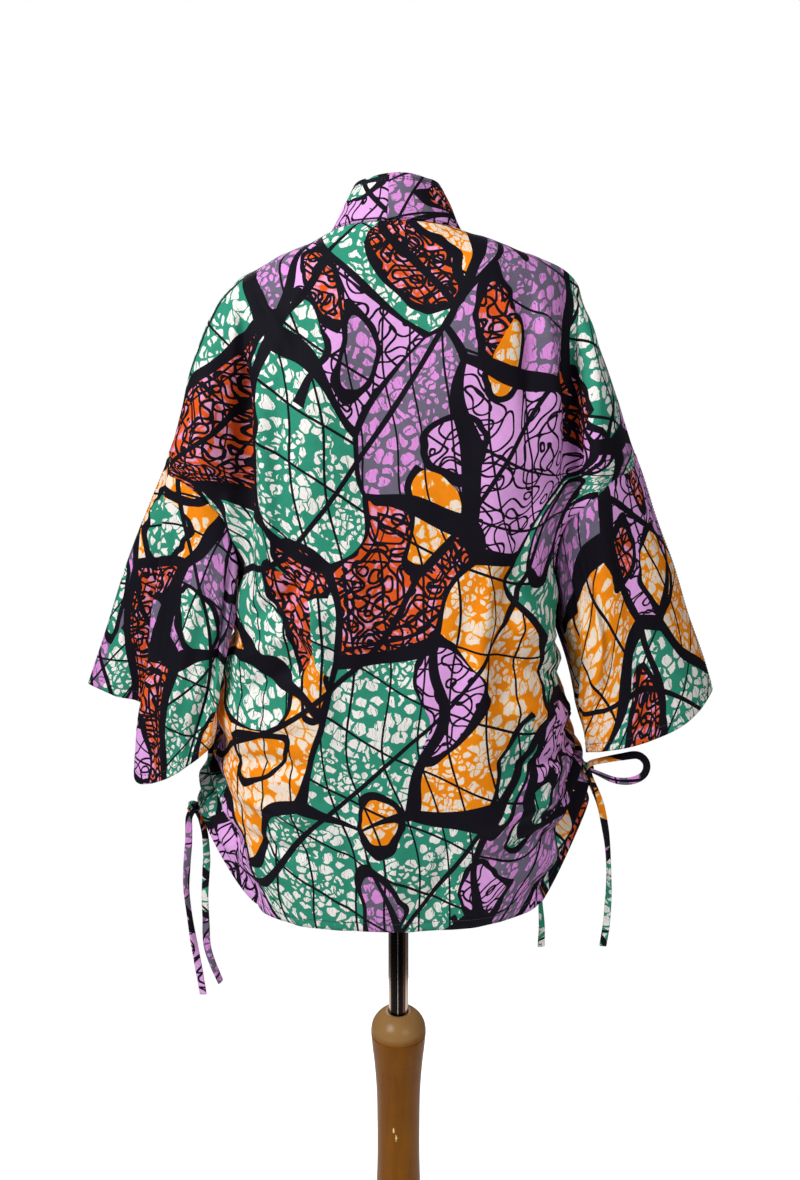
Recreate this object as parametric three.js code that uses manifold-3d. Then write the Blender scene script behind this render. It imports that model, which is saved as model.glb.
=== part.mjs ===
// Kimono jacket with drawstring sides, hung on a limbless dress form with a pole, a turned post and a
// round base. Millimetres, +Z up. The origin is on the floor at the middle of the base. The jacket's
// back faces +Y, its open front faces -Y, and its left sleeve is on +X.
import * as THREE from 'three';
import { mergeVertices } from 'three/addons/utils/BufferGeometryUtils.js';
import Module from 'manifold-3d';

// ---- driving dimensions -----------------------------------------------------------------------------

const wall = 1.6;                 // cloth
const bandWall = 2.4;             // collar band, two layers of cloth
const seamGap = 0.8;              // between two pieces at a seam
const bandWidth = 50;             // collar band, seam to free edge
const sway = 10;                  // how far the hem sits towards the left sleeve
const neckSway = 2;               // and the neck

const base = { radius: 172, height: 26, edge: 9 };
const post = { top: 459, neck: 26.5, dome: 35, shaft: 28, foot: 34 };
const pole = { radius: 12.5, sunk: 70, socket: 24 };
const form = { bottom: 704, sides: 28 };
const cordWidth = 8;

// Back half sections, from the neck down. edge and centre are the heights of the row at its outer end
// and at the centre back. The others are depths and half widths: centre, blade, fold, sleeve top and end.
// more is how much further out the row ends on the right, where the shoulder sits wider.
const backRows = table('edge centre yC xB yB xV yV xF yF xE yE more', [
  [1400, 1408, 60, 28, 57, 53, 43, 68, 24, 74, 4, 1],
  [1386, 1392, 71, 44, 68, 76, 52, 94, 31, 103, 2, 28],
  [1370, 1373, 80, 62, 78, 108, 59, 133, 36, 147, 0, 29],
  [1353, 1355, 87, 72, 86, 130, 66, 160, 42, 179, -1, 19],
  [1330, 1330, 94, 80, 94, 146, 71, 180, 46, 196, -2, 11],
  [1290, 1290, 101, 88, 104, 157, 76, 193, 52, 211, -4, 13],
  [1226, 1226, 108, 92, 112, 164, 79, 213, 58, 239, -6, 11],
  [1195, 1195, 110, 93, 115, 165, 81, 223, 59, 252, -7, 9],
  [1165, 1165, 112, 94, 117, 166, 83, 231, 60, 265, -8, 8],
  [1150, 1148, 113, 94, 117, 158, 87, 214, 69, 249, 44, 7],
  [1134, 1132, 114, 94, 118, 150, 89, 190, 77, 222, 64, 4],
  [1092, 1090, 116, 94, 118, 140, 96, 166, 88, 187, 78, 0],
  [1046, 1044, 117, 94, 118, 142, 95, 164, 80, 176, 58, 0],
  [1008, 1004, 118, 95, 117, 152, 90, 179, 54, 187, 16, 0],
  [960, 948, 119, 95, 117, 154, 90, 180, 52, 189, 8, 0],
  [900, 872, 121, 98, 118, 158, 92, 186, 56, 195, 10, 0],
  [838, 796, 123, 102, 118, 162, 93, 192, 60, 204, 24, 3],
  [786, 736, 124, 100, 117, 152, 99, 184, 76, 197, 52, 7],
  [728, 686, 123, 92, 117, 138, 103, 166, 88, 180, 72, 14],
  [655, 637, 121, 82, 115, 116, 106, 136, 99, 152, 92, 19],
]);

// Front half sections, on the same rows. side and middle are the heights at the side and at the front
// edge. A row goes from the back's end, or from the front half of the armhole, round to the front edge.
const frontRows = table('side middle x1 y1 x2 y2 x3 y3 x4 y4', [
  [1400, 1398, 74, 1, 74, -2, 74, -5, 73, -8],
  [1385, 1384, 98, -12, 90, -24, 80, -31, 71, -36],
  [1369, 1368, 138, -20, 118, -42, 94, -52, 71, -58],
  [1352, 1351, 166, -32, 138, -56, 103, -68, 71, -74],
  [1330, 1330, 182, -42, 150, -70, 110, -84, 71, -89],
  [1290, 1290, 195, -48, 158, -80, 114, -98, 71, -103],
  [1226, 1226, 216, -56, 166, -88, 116, -110, 71, -115],
  [1195, 1195, 225, -59, 168, -90, 117, -113, 71, -118],
  [1165, 1165, 232, -62, 170, -92, 118, -116, 71, -120],
  [1150, 1148, 218, -72, 164, -95, 116, -115, 71, -119],
  [1134, 1130, 196, -82, 156, -97, 114, -114, 71, -118],
  [1094, 1090, 172, -92, 146, -101, 112, -113, 71, -116],
  [1046, 1044, 168, -80, 146, -96, 110, -108, 71, -113],
  [1008, 1004, 182, -36, 153, -82, 112, -104, 71, -111],
  [962, 948, 183, -40, 153, -84, 112, -105, 71, -111],
  [906, 872, 190, -42, 158, -86, 114, -107, 71, -113],
  [852, 796, 205, -30, 174, -80, 120, -108, 71, -116],
  [818, 736, 220, -10, 188, -76, 124, -110, 71, -119],
  [784, 686, 233, 4, 196, -70, 126, -110, 71, -120],
  [748, 634, 234, 6, 196, -66, 122, -106, 71, -118],
]);
const armholeTop = 8, armholeFoot = 13;          // the rows where the armhole starts and ends
const armholeSteps = 12;                         // along each half of the armhole
const frontArmhole = table('x y', [              // its front half, on those rows
  [265, -8],
  [250, -50],
  [224, -70],
  [190, -84],
  [180, -62],
  [187, 16],
]);

// Sleeves: the lines that run down each one, from the armhole to the cuff. at is a line's place round the
// armhole, in steps from the top of the arm over the back to the seam underneath, at 12, and on over the
// front. mid is halfway down and end is at the cuff. The left sleeve doubles over between 1 and 3.
const sleeveLines = {
  left: table('at xMid yMid zMid xEnd yEnd zEnd', [
    [0, 326, -12, 1020, 377, -18, 888],
    [1, 300, 6, 1012, 342, -2, 876],
    [2, 272, 16, 1002, 303, 6, 862],
    [3, 277, 52, 982, 305, 62, 798],
    [6, 238, 76, 952, 267, 82, 802],
    [9, 197, 76, 934, 224, 78, 828],
    [12, 199, 52, 930, 208, 62, 846],
    [15, 222, -14, 938, 232, 4, 852],
    [18, 250, -54, 968, 268, -36, 862],
    [21, 298, -48, 1004, 330, -38, 876],
  ]),
  right: table('at xMid yMid zMid xEnd yEnd zEnd', [
    [0, 326, -4, 1022, 376, -2, 886],
    [3, 301, 44, 1000, 340, 46, 864],
    [6, 252, 64, 966, 291, 64, 843],
    [9, 227, 68, 950, 243, 62, 829],
    [10.5, 221, 52, 948, 233, 44, 822],
    [12, 218, 16, 944, 236, 14, 816],
    [15, 216, -26, 946, 258, -22, 826],
    [18, 254, -56, 968, 298, -46, 846],
    [21, 304, -44, 1006, 350, -36, 868],
  ]),
};
// Folds that hang in the cloth. Each runs from its top to its foot, in x and height, and lifts the cloth
// by lift at its middle. inner and outer are its widths on each side of the line, and roll tips it over.
const backFolds = table('xTop zTop xFoot zFoot lift inner outer roll', [
  [200, 1320, 244, 1120, 13, 34, 9, 9],
  [128, 1270, 150, 1050, 7, 20, 18, 0],
  [168, 1250, 178, 1100, -9, 16, 20, 0],
  [196, 1230, 206, 1120, 6, 16, 14, 0],
  [-190, 1350, -186, 1040, -20, 20, 11, 0],
  [-214, 1340, -214, 1110, 13, 10, 40, 0],
  [-142, 1230, -160, 1060, 6, 18, 18, 0],
  [60, 1020, 96, 800, 7, 34, 34, 0],
  [-70, 1010, -104, 760, 8, 36, 36, 0],
  [10, 900, 14, 690, 6, 40, 40, 0],
]);
const frontFolds = table('xTop zTop xFoot zFoot lift inner outer roll', [
  [176, 1300, 168, 1050, -8, 24, 24, 0],
  [-178, 1300, -170, 1050, -8, 24, 24, 0],
  [118, 1180, 130, 760, 7, 30, 30, 0],
  [-120, 1170, -134, 740, 7, 30, 30, 0],
]);

// The side seams are drawn up by cords: each gather is a ridge that fades into the panel.
const gathers = { count: 6, from: 0.06, depth: 6.2, reach: 0.3, slant: 0.16 };

// Collar band: the turn of its free edge from the seam, by distance along the seam from the centre back.
const bandTurns = table('along dx dy dz', [
  [0, 0, -0.2, 1],
  [42, -0.2, -0.28, 0.92],
  [80, -0.42, -0.06, 0.9],
  [112, -0.62, 0.04, 0.74],
  [150, -0.84, -0.06, 0.48],
  [210, -0.96, -0.16, 0.18],
  [310, -1, -0.14, 0.02],
  [900, -1, -0.04, 0],
]);

// Dress form sections from the bottom up: half width, depth to the back and depth to the front.
const formRows = table('z half back front', [
  [704, 128, 84, 82],
  [712, 144, 94, 92],
  [770, 164, 106, 102],
  [840, 168, 108, 100],
  [930, 150, 96, 88],
  [1010, 138, 86, 84],
  [1090, 148, 92, 98],
  [1180, 162, 100, 106],
  [1260, 170, 98, 96],
  [1312, 180, 84, 72],
  [1340, 174, 70, 56],
  [1364, 142, 58, 42],
  [1380.7, 108, 50, 36],
  [1392, 71, 46, 31],
  [1401, 46, 43, 30],
  [1420, 38, 42, 30],
]);

// Cord ends, as the points that each one passes.
const cordPaths = {
  cord_left_back: [[252.1, 13, 731.2], [253.8, 15.2, 724], [254, 16, 712], [255, 16, 695], [258, 15, 670],
    [260, 15, 645], [260, 15, 625], [256, 15, 580], [250, 15, 533], [245, 15, 492]],
  cord_left_front: [[244.6, 5.2, 730.6], [241, 4, 720], [237, 4.5, 700], [236, 5, 673], [238, 5, 646],
    [240, 5, 619], [240, 5, 588], [240, 5, 556], [235, 6, 533], [224, 8, 504]],
  cord_right_hang: [[-227.2, 18, 784.4], [-230.5, 21.4, 776], [-236, 23, 764], [-244, 22, 742], [-253, 20, 697],
    [-257, 20, 649], [-257, 20, 613], [-256, 20, 588], [-253, 20, 561]],
  cord_right_loop: [[-227.3, 21.6, 798.8], [-239, 28.5, 805.4], [-262, 34, 812], [-280, 36, 815], [-290, 36, 808],
    [-292, 36, 798], [-287, 35, 788], [-273, 34, 782], [-256, 31, 782], [-235.6, 22.6, 789]],
  cord_right_inner: [[-169.4, 80.8, 712.6], [-168, 73, 702], [-167, 62, 690], [-167, 56, 675], [-168, 52, 655],
    [-170, 50, 630], [-172, 50, 605], [-172, 50, 578]],
};
const knots = {
  knot_left: { at: [248, 8, 738], size: [8, 9, 8] },
  knot_right: { at: [-226.4, 14.6, 791.5], size: [7, 8, 7] },
};

// ---- curves and tables --------------------------------------------------------------------------------

function table(names, rows) {
  const keys = names.split(' ');
  return rows.map((row) => Object.fromEntries(keys.map((key, i) => [key, row[i]])));
}

const mix = (a, b, f) => a + (b - a) * f;
const ease = (lo, hi, x) => {
  const f = Math.min(1, Math.max(0, (x - lo) / (hi - lo)));
  return f * f * (3 - 2 * f);
};

// A smooth curve through evenly numbered values, read at a fractional number.
function along(values, at) {
  const last = values.length - 1;
  const i = Math.min(last - 1, Math.max(0, Math.floor(at)));
  const f = at - i;
  const p = [i - 1, i, i + 1, i + 2].map((k) => {
    if (k < 0) return 2 * values[0] - values[1];
    if (k > last) return 2 * values[last] - values[last - 1];
    return values[k];
  });
  return 0.5 * (2 * p[1] + (p[2] - p[0]) * f + (2 * p[0] - 5 * p[1] + 4 * p[2] - p[3]) * f * f
    + (3 * p[1] - p[0] - 3 * p[2] + p[3]) * f * f * f);
}
const column = (rows, key, at) => along(rows.map((row) => row[key]), at);

// The same for the outer ends of the rows, which turn a corner where the armhole starts and ends.
function edgeColumn(key, at) {
  const stretch = at <= armholeTop ? [0, armholeTop] : at <= armholeFoot ? [armholeTop, armholeFoot]
    : [armholeFoot, rowCount];
  return along(backRows.slice(stretch[0], stretch[1] + 1).map((row) => row[key]), at - stretch[0]);
}

// ---- the cloth's surface ------------------------------------------------------------------------------

const rowCount = backRows.length - 1;
const sideShare = (row) => (row - armholeFoot) / (rowCount - armholeFoot);
const swayAt = (z) => sway * ease(1000, 650, z) + neckSway * ease(1366, 1400, z);

function foldShift(folds, x, z) {
  let lift = 0, roll = 0;
  for (const fold of folds) {
    const down = (fold.zTop - z) / (fold.zTop - fold.zFoot);
    const outward = (x - mix(fold.xTop, fold.xFoot, down)) * Math.sign(fold.xTop);
    const width = outward < 0 ? fold.inner : fold.outer;
    const share = Math.exp(-((outward / width) ** 2)) * ease(-0.25, 0.15, down) * ease(1.25, 0.85, down);
    lift += fold.lift * share;
    roll += fold.roll * share * Math.sign(fold.xTop);
  }
  return [roll, lift];
}

// Moves a point of the plain form by the folds of the face that it lies on.
function drape([x, y, z]) {
  const onBack = ease(2, 30, y), onFront = ease(-2, -30, y);
  const [rollBack, liftBack] = foldShift(backFolds, x, z);
  const [rollFront, liftFront] = foldShift(frontFolds, x, z);
  return [x + rollBack * onBack + rollFront * onFront, y + liftBack * onBack - liftFront * onFront, z];
}

// How far the drawn-up side seam stands out, for a share down the side and a distance from the seam.
function gather(share, away) {
  const run = Math.max(0, (share - gathers.from) / (1 - gathers.from));
  const wave = Math.sin((run + away * gathers.slant) * gathers.count * 2 * Math.PI);
  return gathers.depth * wave * ease(0, 0.14, run) * Math.exp(-((away / gathers.reach) ** 2));
}

// Back panel: u runs from -1 at the right end to 1 at the left end, row from the neck to the hem.
function backPoint(u, row) {
  const side = u < 0 ? -1 : 1, out = Math.abs(u);
  const get = (key) => column(backRows, key, row);
  const xs = [-get('xB'), 0, get('xB'), get('xV'), get('xF'), edgeColumn('xE', row)];
  const ys = [get('yB'), get('yC'), get('yB'), get('yV'), get('yF'), edgeColumn('yE', row)];
  const more = side < 0 ? get('more') * out * out : 0;
  const puff = gather(sideShare(row), 1 - out);
  const z = mix(get('centre'), get('edge'), out ** 2.2);
  const x = along(xs, out * 4 + 1) + more + puff * 0.75;
  return drape([side * x + swayAt(z), along(ys, out * 4 + 1) + puff * 0.6, z]);
}

// Front panel: u runs from 0 at the side to 1 at the front edge.
function frontPoint(side, u, row) {
  const onArmhole = row > armholeTop && row < armholeFoot;
  const start = (key) => (onArmhole ? column(frontArmhole, key, row - armholeTop) : edgeColumn(key + 'E', row));
  const across = (key) => along([start(key), ...[1, 2, 3, 4].map((i) => column(frontRows, key + i, row))], u * 4);
  const edge = column(backRows, 'edge', row);
  const z = u < 0.25 ? mix(edge, column(frontRows, 'side', row), ease(0, 0.25, u))
    : mix(column(frontRows, 'side', row), column(frontRows, 'middle', row), (u - 0.25) / 0.75);
  const more = side < 0 ? column(backRows, 'more', row) * (1 - u) ** (row > armholeFoot ? 6 : 2) : 0;
  const puff = gather(sideShare(row), u);
  const y = across('y') + puff * 0.6 * (1 - 2 * ease(0, 0.4, u));
  return drape([side * (across('x') + more + puff * 0.75) + swayAt(z), y, z]);
}

// The armhole's edge: the back panel's end on the way down, and the front panel's on the way up.
const armholeRow = (at) => {
  const half = at <= armholeSteps ? at : 2 * armholeSteps - at;
  return armholeTop + (armholeFoot - armholeTop) * half / armholeSteps;
};
const armholePoint = (side, at) => (at <= armholeSteps ? backPoint(side, armholeRow(at))
  : frontPoint(side, 0, armholeRow(at)));

// Sleeve: at goes round it as in its table, and v runs from 0 at the armhole to 1 at the cuff.
function sleevePoint(side, at, v) {
  const lines = side > 0 ? sleeveLines.left : sleeveLines.right;
  const whole = 2 * armholeSteps, turn = ((at % whole) + whole) % whole;
  const stops = [...lines.map((line) => line.at), whole];
  let k = 0;
  while (turn > stops[k + 1]) k += 1;
  const place = k + (turn - stops[k]) / (stops[k + 1] - stops[k]);
  const ring = [...lines.slice(-2), ...lines, ...lines.slice(0, 3)];
  const read = (key) => along(ring.map((line) => line[key]), place + 2);
  const start = armholePoint(side, turn);
  const middle = [side * read('xMid'), read('yMid'), read('zMid')];
  const cuff = [side * read('xEnd'), read('yEnd'), read('zEnd')];
  return start.map((value, i) => along([value, middle[i], cuff[i]], v * 2));
}

// ---- solids -------------------------------------------------------------------------------------------

const vector = (p) => new THREE.Vector3(...p);
const tiny = 1e-3;

// The outward normal of a surface at a point; turned is -1 where its two directions turn the other way.
function normalOf(surface, a, b, [aLow, aHigh], turned) {
  const across = vector(surface(Math.min(aHigh, a + tiny), b)).sub(vector(surface(Math.max(aLow, a - tiny), b)));
  const down = vector(surface(a, b + tiny)).sub(vector(surface(a, b)));
  return across.cross(down).normalize().multiplyScalar(turned);
}
const backNormal = (side, row) => normalOf(backPoint, side, row, [-1, 1], 1);
const frontNormal = (side, row) => normalOf((u, r) => frontPoint(side, u, r), 0, row, [0, 1], side);
const sleeveNormal = (side, at) => normalOf((a, v) => sleevePoint(side, a, v), at, tiny, [-99, 99], -side);

// At a seam, the pieces that meet there share one normal, so their walls meet squarely. Under the arm the
// sleeve folds back against the body, and the normal between them points down.
function seamNormal(side, row, onFront, ofSleeve) {
  const atTop = Math.abs(row - armholeTop) < tiny, atFoot = Math.abs(row - armholeFoot) < tiny;
  const between = row > armholeTop && row < armholeFoot && !atTop && !atFoot;
  const sum = new THREE.Vector3();
  if (!(between && onFront)) sum.add(backNormal(side, row));
  if (!(between && !onFront)) sum.add(frontNormal(side, row));
  sum.normalize();
  if (between || atTop || (atFoot && ofSleeve)) {
    const half = armholeSteps * (row - armholeTop) / (armholeFoot - armholeTop);
    sum.add(sleeveNormal(side, onFront ? 2 * armholeSteps - half : half));
    sum.z -= 0.6 * ease(armholeFoot - 1.2, armholeFoot, row);
  }
  return sum.normalize();
}

// A closed wall from a grid of points on its outer face. turned is as in normalOf. trim is how far its four
// edges are cut back along the surface, and edgeNormal may give the normal at an edge point.
function wallGeometry({ columns, rows, point, thick, turned, trim = {}, edgeNormal = () => null, ring = false }) {
  const grid = rows.map((b) => columns.map((a) => vector(point(a, b))));
  const lastRow = rows.length - 1, lastColumn = columns.length - 1;
  const at = (i, j) => {
    const wrapped = ring ? (i < 0 ? i + lastColumn : i > lastColumn ? i - lastColumn : i) : i;
    return grid[Math.min(lastRow, Math.max(0, j))][Math.min(lastColumn, Math.max(0, wrapped))];
  };
  // square to the edge and to its normal, towards the cloth
  const inset = (p, inward, before, after, normal, distance) => {
    const square = after.clone().sub(before).cross(normal).normalize();
    return p.addScaledVector(square, Math.sign(square.dot(inward.clone().sub(p))) * distance);
  };
  const outer = [], inner = [];
  for (let j = 0; j <= lastRow; j += 1) {
    for (let i = 0; i <= lastColumn; i += 1) {
      const across = at(i + 1, j).clone().sub(at(i - 1, j)), down = at(i, j + 1).clone().sub(at(i, j - 1));
      const normal = edgeNormal(i, j) || across.cross(down).normalize().multiplyScalar(turned);
      const p = at(i, j).clone();
      if (i === 0 && trim.first) inset(p, at(1, j), at(i, j - 1), at(i, j + 1), normal, trim.first);
      if (i === lastColumn && trim.last) inset(p, at(i - 1, j), at(i, j - 1), at(i, j + 1), normal, trim.last);
      if (j === 0 && trim.top) inset(p, at(i, 1), at(i - 1, j), at(i + 1, j), normal, trim.top);
      outer.push(p);
      inner.push(p.clone().addScaledVector(normal, -thick));
    }
  }
  const wide = lastColumn + 1, half = outer.length, index = [];
  const quad = (a, b, c, d) => index.push(...(turned > 0 ? [a, b, c, a, c, d] : [a, c, b, a, d, c]));
  for (let j = 0; j < lastRow; j += 1) {
    for (let i = 0; i < lastColumn; i += 1) {
      const a = j * wide + i, b = a + 1, c = b + wide, d = a + wide;
      quad(a, b, c, d);
      quad(half + a, half + d, half + c, half + b);
    }
  }
  for (let i = 0; i < lastColumn; i += 1) {
    const foot = lastRow * wide + i;
    quad(i + 1, i, half + i, half + i + 1);
    quad(foot, foot + 1, half + foot + 1, half + foot);
  }
  for (let j = 0; j < lastRow; j += 1) {
    const first = j * wide, last = first + lastColumn;
    quad(first, first + wide, half + first + wide, half + first);
    quad(last + wide, last, half + last, half + last + wide);
  }
  const geometry = new THREE.BufferGeometry().setFromPoints([...outer, ...inner]);
  geometry.setIndex(index);
  return geometry;
}

// A closed solid through rings of points, with a flat cap at each end.
function ringSolid(rings) {
  const sides = rings[0].length, points = rings.flat();
  const index = [];
  for (let j = 0; j < rings.length - 1; j += 1) {
    for (let i = 0; i < sides; i += 1) {
      const a = j * sides + i, b = j * sides + (i + 1) % sides;
      index.push(a, b, b + sides, a, b + sides, a + sides);
    }
  }
  for (const [j, flip] of [[0, true], [rings.length - 1, false]]) {
    const middle = new THREE.Vector3();
    for (const p of rings[j]) middle.addScaledVector(p, 1 / sides);
    points.push(middle);
    for (let i = 0; i < sides; i += 1) {
      const a = j * sides + i, b = j * sides + (i + 1) % sides, c = points.length - 1;
      index.push(...(flip ? [b, a, c] : [a, b, c]));
    }
  }
  const geometry = new THREE.BufferGeometry().setFromPoints(points);
  geometry.setIndex(index);
  return geometry;
}

function cordGeometry(path) {
  const curve = new THREE.CatmullRomCurve3(path.map(vector));
  const section = new THREE.Shape();
  const sides = 8;
  for (let i = 0; i < sides; i += 1) {
    const a = (i / sides) * 2 * Math.PI;
    section[i ? 'lineTo' : 'moveTo'](Math.cos(a) * cordWidth / 2, Math.sin(a) * cordWidth / 2);
  }
  const steps = Math.ceil(curve.getLength() / (cordWidth * 2));
  return new THREE.ExtrudeGeometry(section, { steps, extrudePath: curve, curveSegments: 1 });
}

function lathe(profile, segments) {
  const geometry = new THREE.LatheGeometry(profile.map(([r, z]) => new THREE.Vector2(r, z)), segments);
  return geometry.rotateX(Math.PI / 2);
}

const wasm = await Module();
wasm.setup();

function toManifold(geometry) {
  const bare = geometry.clone();
  for (const name of Object.keys(bare.attributes)) if (name !== 'position') bare.deleteAttribute(name);
  const merged = mergeVertices(bare, tiny);
  return new wasm.Manifold(new wasm.Mesh({
    numProp: 3,
    vertProperties: new Float32Array(merged.attributes.position.array),
    triVerts: new Uint32Array(merged.index.array),
  }));
}

function fromManifold(solid) {
  const mesh = solid.getMesh();
  const geometry = new THREE.BufferGeometry();
  geometry.setAttribute('position', new THREE.BufferAttribute(new Float32Array(mesh.vertProperties), 3));
  geometry.setIndex(Array.from(mesh.triVerts));
  return geometry;
}

// ---- materials ----------------------------------------------------------------------------------------

const cloth = (color) => new THREE.MeshStandardMaterial({ color, roughness: 0.72, metalness: 0 });
const wood = () => new THREE.MeshStandardMaterial({ color: 0xa0713a, roughness: 0.4, metalness: 0 });
const chrome = () => new THREE.MeshStandardMaterial({ color: 0x55555a, roughness: 0.16, metalness: 1 });
const cover = () => new THREE.MeshStandardMaterial({ color: 0xd9cfbd, roughness: 0.9, metalness: 0 });

const jacket = new THREE.Group();
function add(name, geometry, material) {
  const mesh = new THREE.Mesh(geometry, material);
  mesh.name = name;
  jacket.add(mesh);
}

// ---- jacket -------------------------------------------------------------------------------------------

const steps = (from, to, count) => Array.from({ length: count + 1 }, (_, i) => mix(from, to, i / count));
const topRow = 0.1;                              // the fronts start here, where they are as wide as a seam
const rowStops = [0, topRow, ...steps(0.5, 5, 9), ...steps(5, armholeTop, 3).slice(1),
  ...steps(armholeTop, armholeFoot, armholeSteps).slice(1), ...steps(armholeFoot, rowCount, 30).slice(1)];
const halfColumns = 12;                          // of the back panel
const trimmed = seamGap / 2;

function backPanel() {
  const columns = steps(-1, 1, 2 * halfColumns), last = columns.length - 1;
  const edgeNormal = (i, j) => (i === 0 || i === last ? seamNormal(columns[i], rowStops[j], false, false) : null);
  return wallGeometry({ columns, rows: rowStops, point: backPoint, thick: wall, turned: 1,
    trim: { first: trimmed, last: trimmed }, edgeNormal });
}

function frontPanel(side) {
  const rows = rowStops.slice(1);
  const edgeNormal = (i, j) => (i === 0 ? seamNormal(side, rows[j], true, false) : null);
  return wallGeometry({ columns: steps(0, 1, 8), rows, point: (u, row) => frontPoint(side, u, row), thick: wall,
    turned: side, trim: { first: trimmed }, edgeNormal });
}

function sleeve(side) {
  const columns = steps(armholeSteps, 3 * armholeSteps, 2 * armholeSteps);
  const place = (i) => (columns[i] % (2 * armholeSteps));
  const edgeNormal = (i, j) => (j ? null
    : seamNormal(side, armholeRow(place(i)), place(i) > armholeSteps, true));
  return wallGeometry({ columns, rows: steps(0, 1, 12), point: (at, v) => sleevePoint(side, at, v), thick: wall,
    turned: -side, trim: { first: trimmed, last: trimmed, top: 0.75 * seamGap }, edgeNormal, ring: true });
}

// The collar band: up from the neck seam behind, over to the front and down the front edge. Its two halves
// join one column left of the centre back.
const bandJoin = 1;
function collarBand(side) {
  const neck = [];
  for (let i = bandJoin; side > 0 ? i <= halfColumns : i >= -halfColumns; i += side) {
    const [x, y, z] = backPoint(i / halfColumns, 0);
    neck.push(new THREE.Vector3(x, y, z + seamGap));
  }
  const frontRowStops = rowStops.slice(1).filter((row, i) => i % 2 === 0);
  const front = frontRowStops.map((row) => vector(frontPoint(side, 1, row)));
  for (const p of front) p.x -= side * seamGap;
  const seam = [...neck, ...front];
  const distance = [side * seam[0].x];
  for (let k = 1; k < seam.length; k += 1) distance.push(distance[k - 1] + seam[k].distanceTo(seam[k - 1]));
  const turnAt = (reach) => {
    let k = 0;
    while (k < bandTurns.length - 2 && Math.abs(reach) > bandTurns[k + 1].along) k += 1;
    const [from, to] = [bandTurns[k], bandTurns[k + 1]];
    const f = Math.min(1, (Math.abs(reach) - from.along) / (to.along - from.along));
    const dx = mix(from.dx, to.dx, f) * side * Math.sign(reach || 1);
    return new THREE.Vector3(dx, mix(from.dy, to.dy, f), mix(from.dz, to.dz, f)).normalize();
  };
  const point = (a, k) => seam[k].clone().addScaledVector(turnAt(distance[k]), bandWidth * a).toArray();
  const joinNormal = turnAt(0).cross(new THREE.Vector3(1, 0, 0));
  return wallGeometry({ columns: steps(0, 1, 3), rows: seam.map((_, k) => k), point, thick: bandWall, turned: side,
    trim: { top: trimmed }, edgeNormal: (i, j) => (j === 0 ? joinNormal : null) });
}

add('back_panel', backPanel(), cloth(0x2e9179));
for (const [name, side] of [['left', 1], ['right', -1]]) {
  add(`front_${name}`, frontPanel(side), cloth(0xd990d8));
  add(`sleeve_${name}`, sleeve(side), cloth(0xf59a10));
  add(`collar_${name}`, collarBand(side), cloth(0xe2571e));
}
for (const [name, path] of Object.entries(cordPaths)) add(name, cordGeometry(path), cloth(0x2a2440));
for (const [name, { at, size }] of Object.entries(knots)) {
  add(name, new THREE.SphereGeometry(1, 10, 7).scale(...size).translate(...at), cloth(0x2a2440));
}

// ---- dress form and stand -----------------------------------------------------------------------------

function formRing(f) {
  const get = (key) => column(formRows, key, f);
  const ring = [];
  for (let i = 0; i < form.sides; i += 1) {
    const a = (i / form.sides) * 2 * Math.PI;
    const c = Math.cos(a), s = Math.sin(a);
    const depth = s > 0 ? get('back') : get('front');
    ring.push(new THREE.Vector3(
      get('half') * Math.sign(c) * Math.abs(c) ** 0.86, depth * Math.sign(s) * Math.abs(s) ** 0.86, get('z')));
  }
  return ring;
}

const formRings = [];
for (let f = 0; f <= formRows.length - 1; f += 1) formRings.push(formRing(f));
const socket = lathe([[0, form.bottom - 5], [pole.radius + 0.3, form.bottom - 5],
  [pole.radius + 0.3, form.bottom + pole.socket], [0, form.bottom + pole.socket]], 24);
add('form_torso', fromManifold(toManifold(ringSolid(formRings)).subtract(toManifold(socket))), cover());

const bore = pole.radius + 0.3, floorOfBore = post.top - pole.sunk;
add('pole', lathe([[0, floorOfBore + 0.3], [pole.radius, floorOfBore + 0.3],
  [pole.radius, form.bottom + pole.socket - 0.3], [0, form.bottom + pole.socket - 0.3]], 24), chrome());

const foot = base.height + 0.3;
add('post', lathe([[0, foot], [post.foot, foot], [post.foot, foot + 14], [post.shaft, foot + 34],
  [post.shaft, 300], [post.shaft + 1.5, 350], [post.dome - 1.5, 400], [post.dome, 420], [post.dome - 1, 434],
  [post.dome - 5, 446], [post.neck - 5, 455], [bore + 4, post.top], [bore, post.top], [bore, floorOfBore],
  [0, floorOfBore]], 24), wood());
add('base', lathe([[0, 0], [base.radius - 2, 0], [base.radius, 2], [base.radius, base.height - base.edge],
  [base.radius - 3, base.height - 3], [base.radius - base.edge, base.height], [0, base.height]], 40), wood());

export default jacket;
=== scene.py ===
import math

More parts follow.
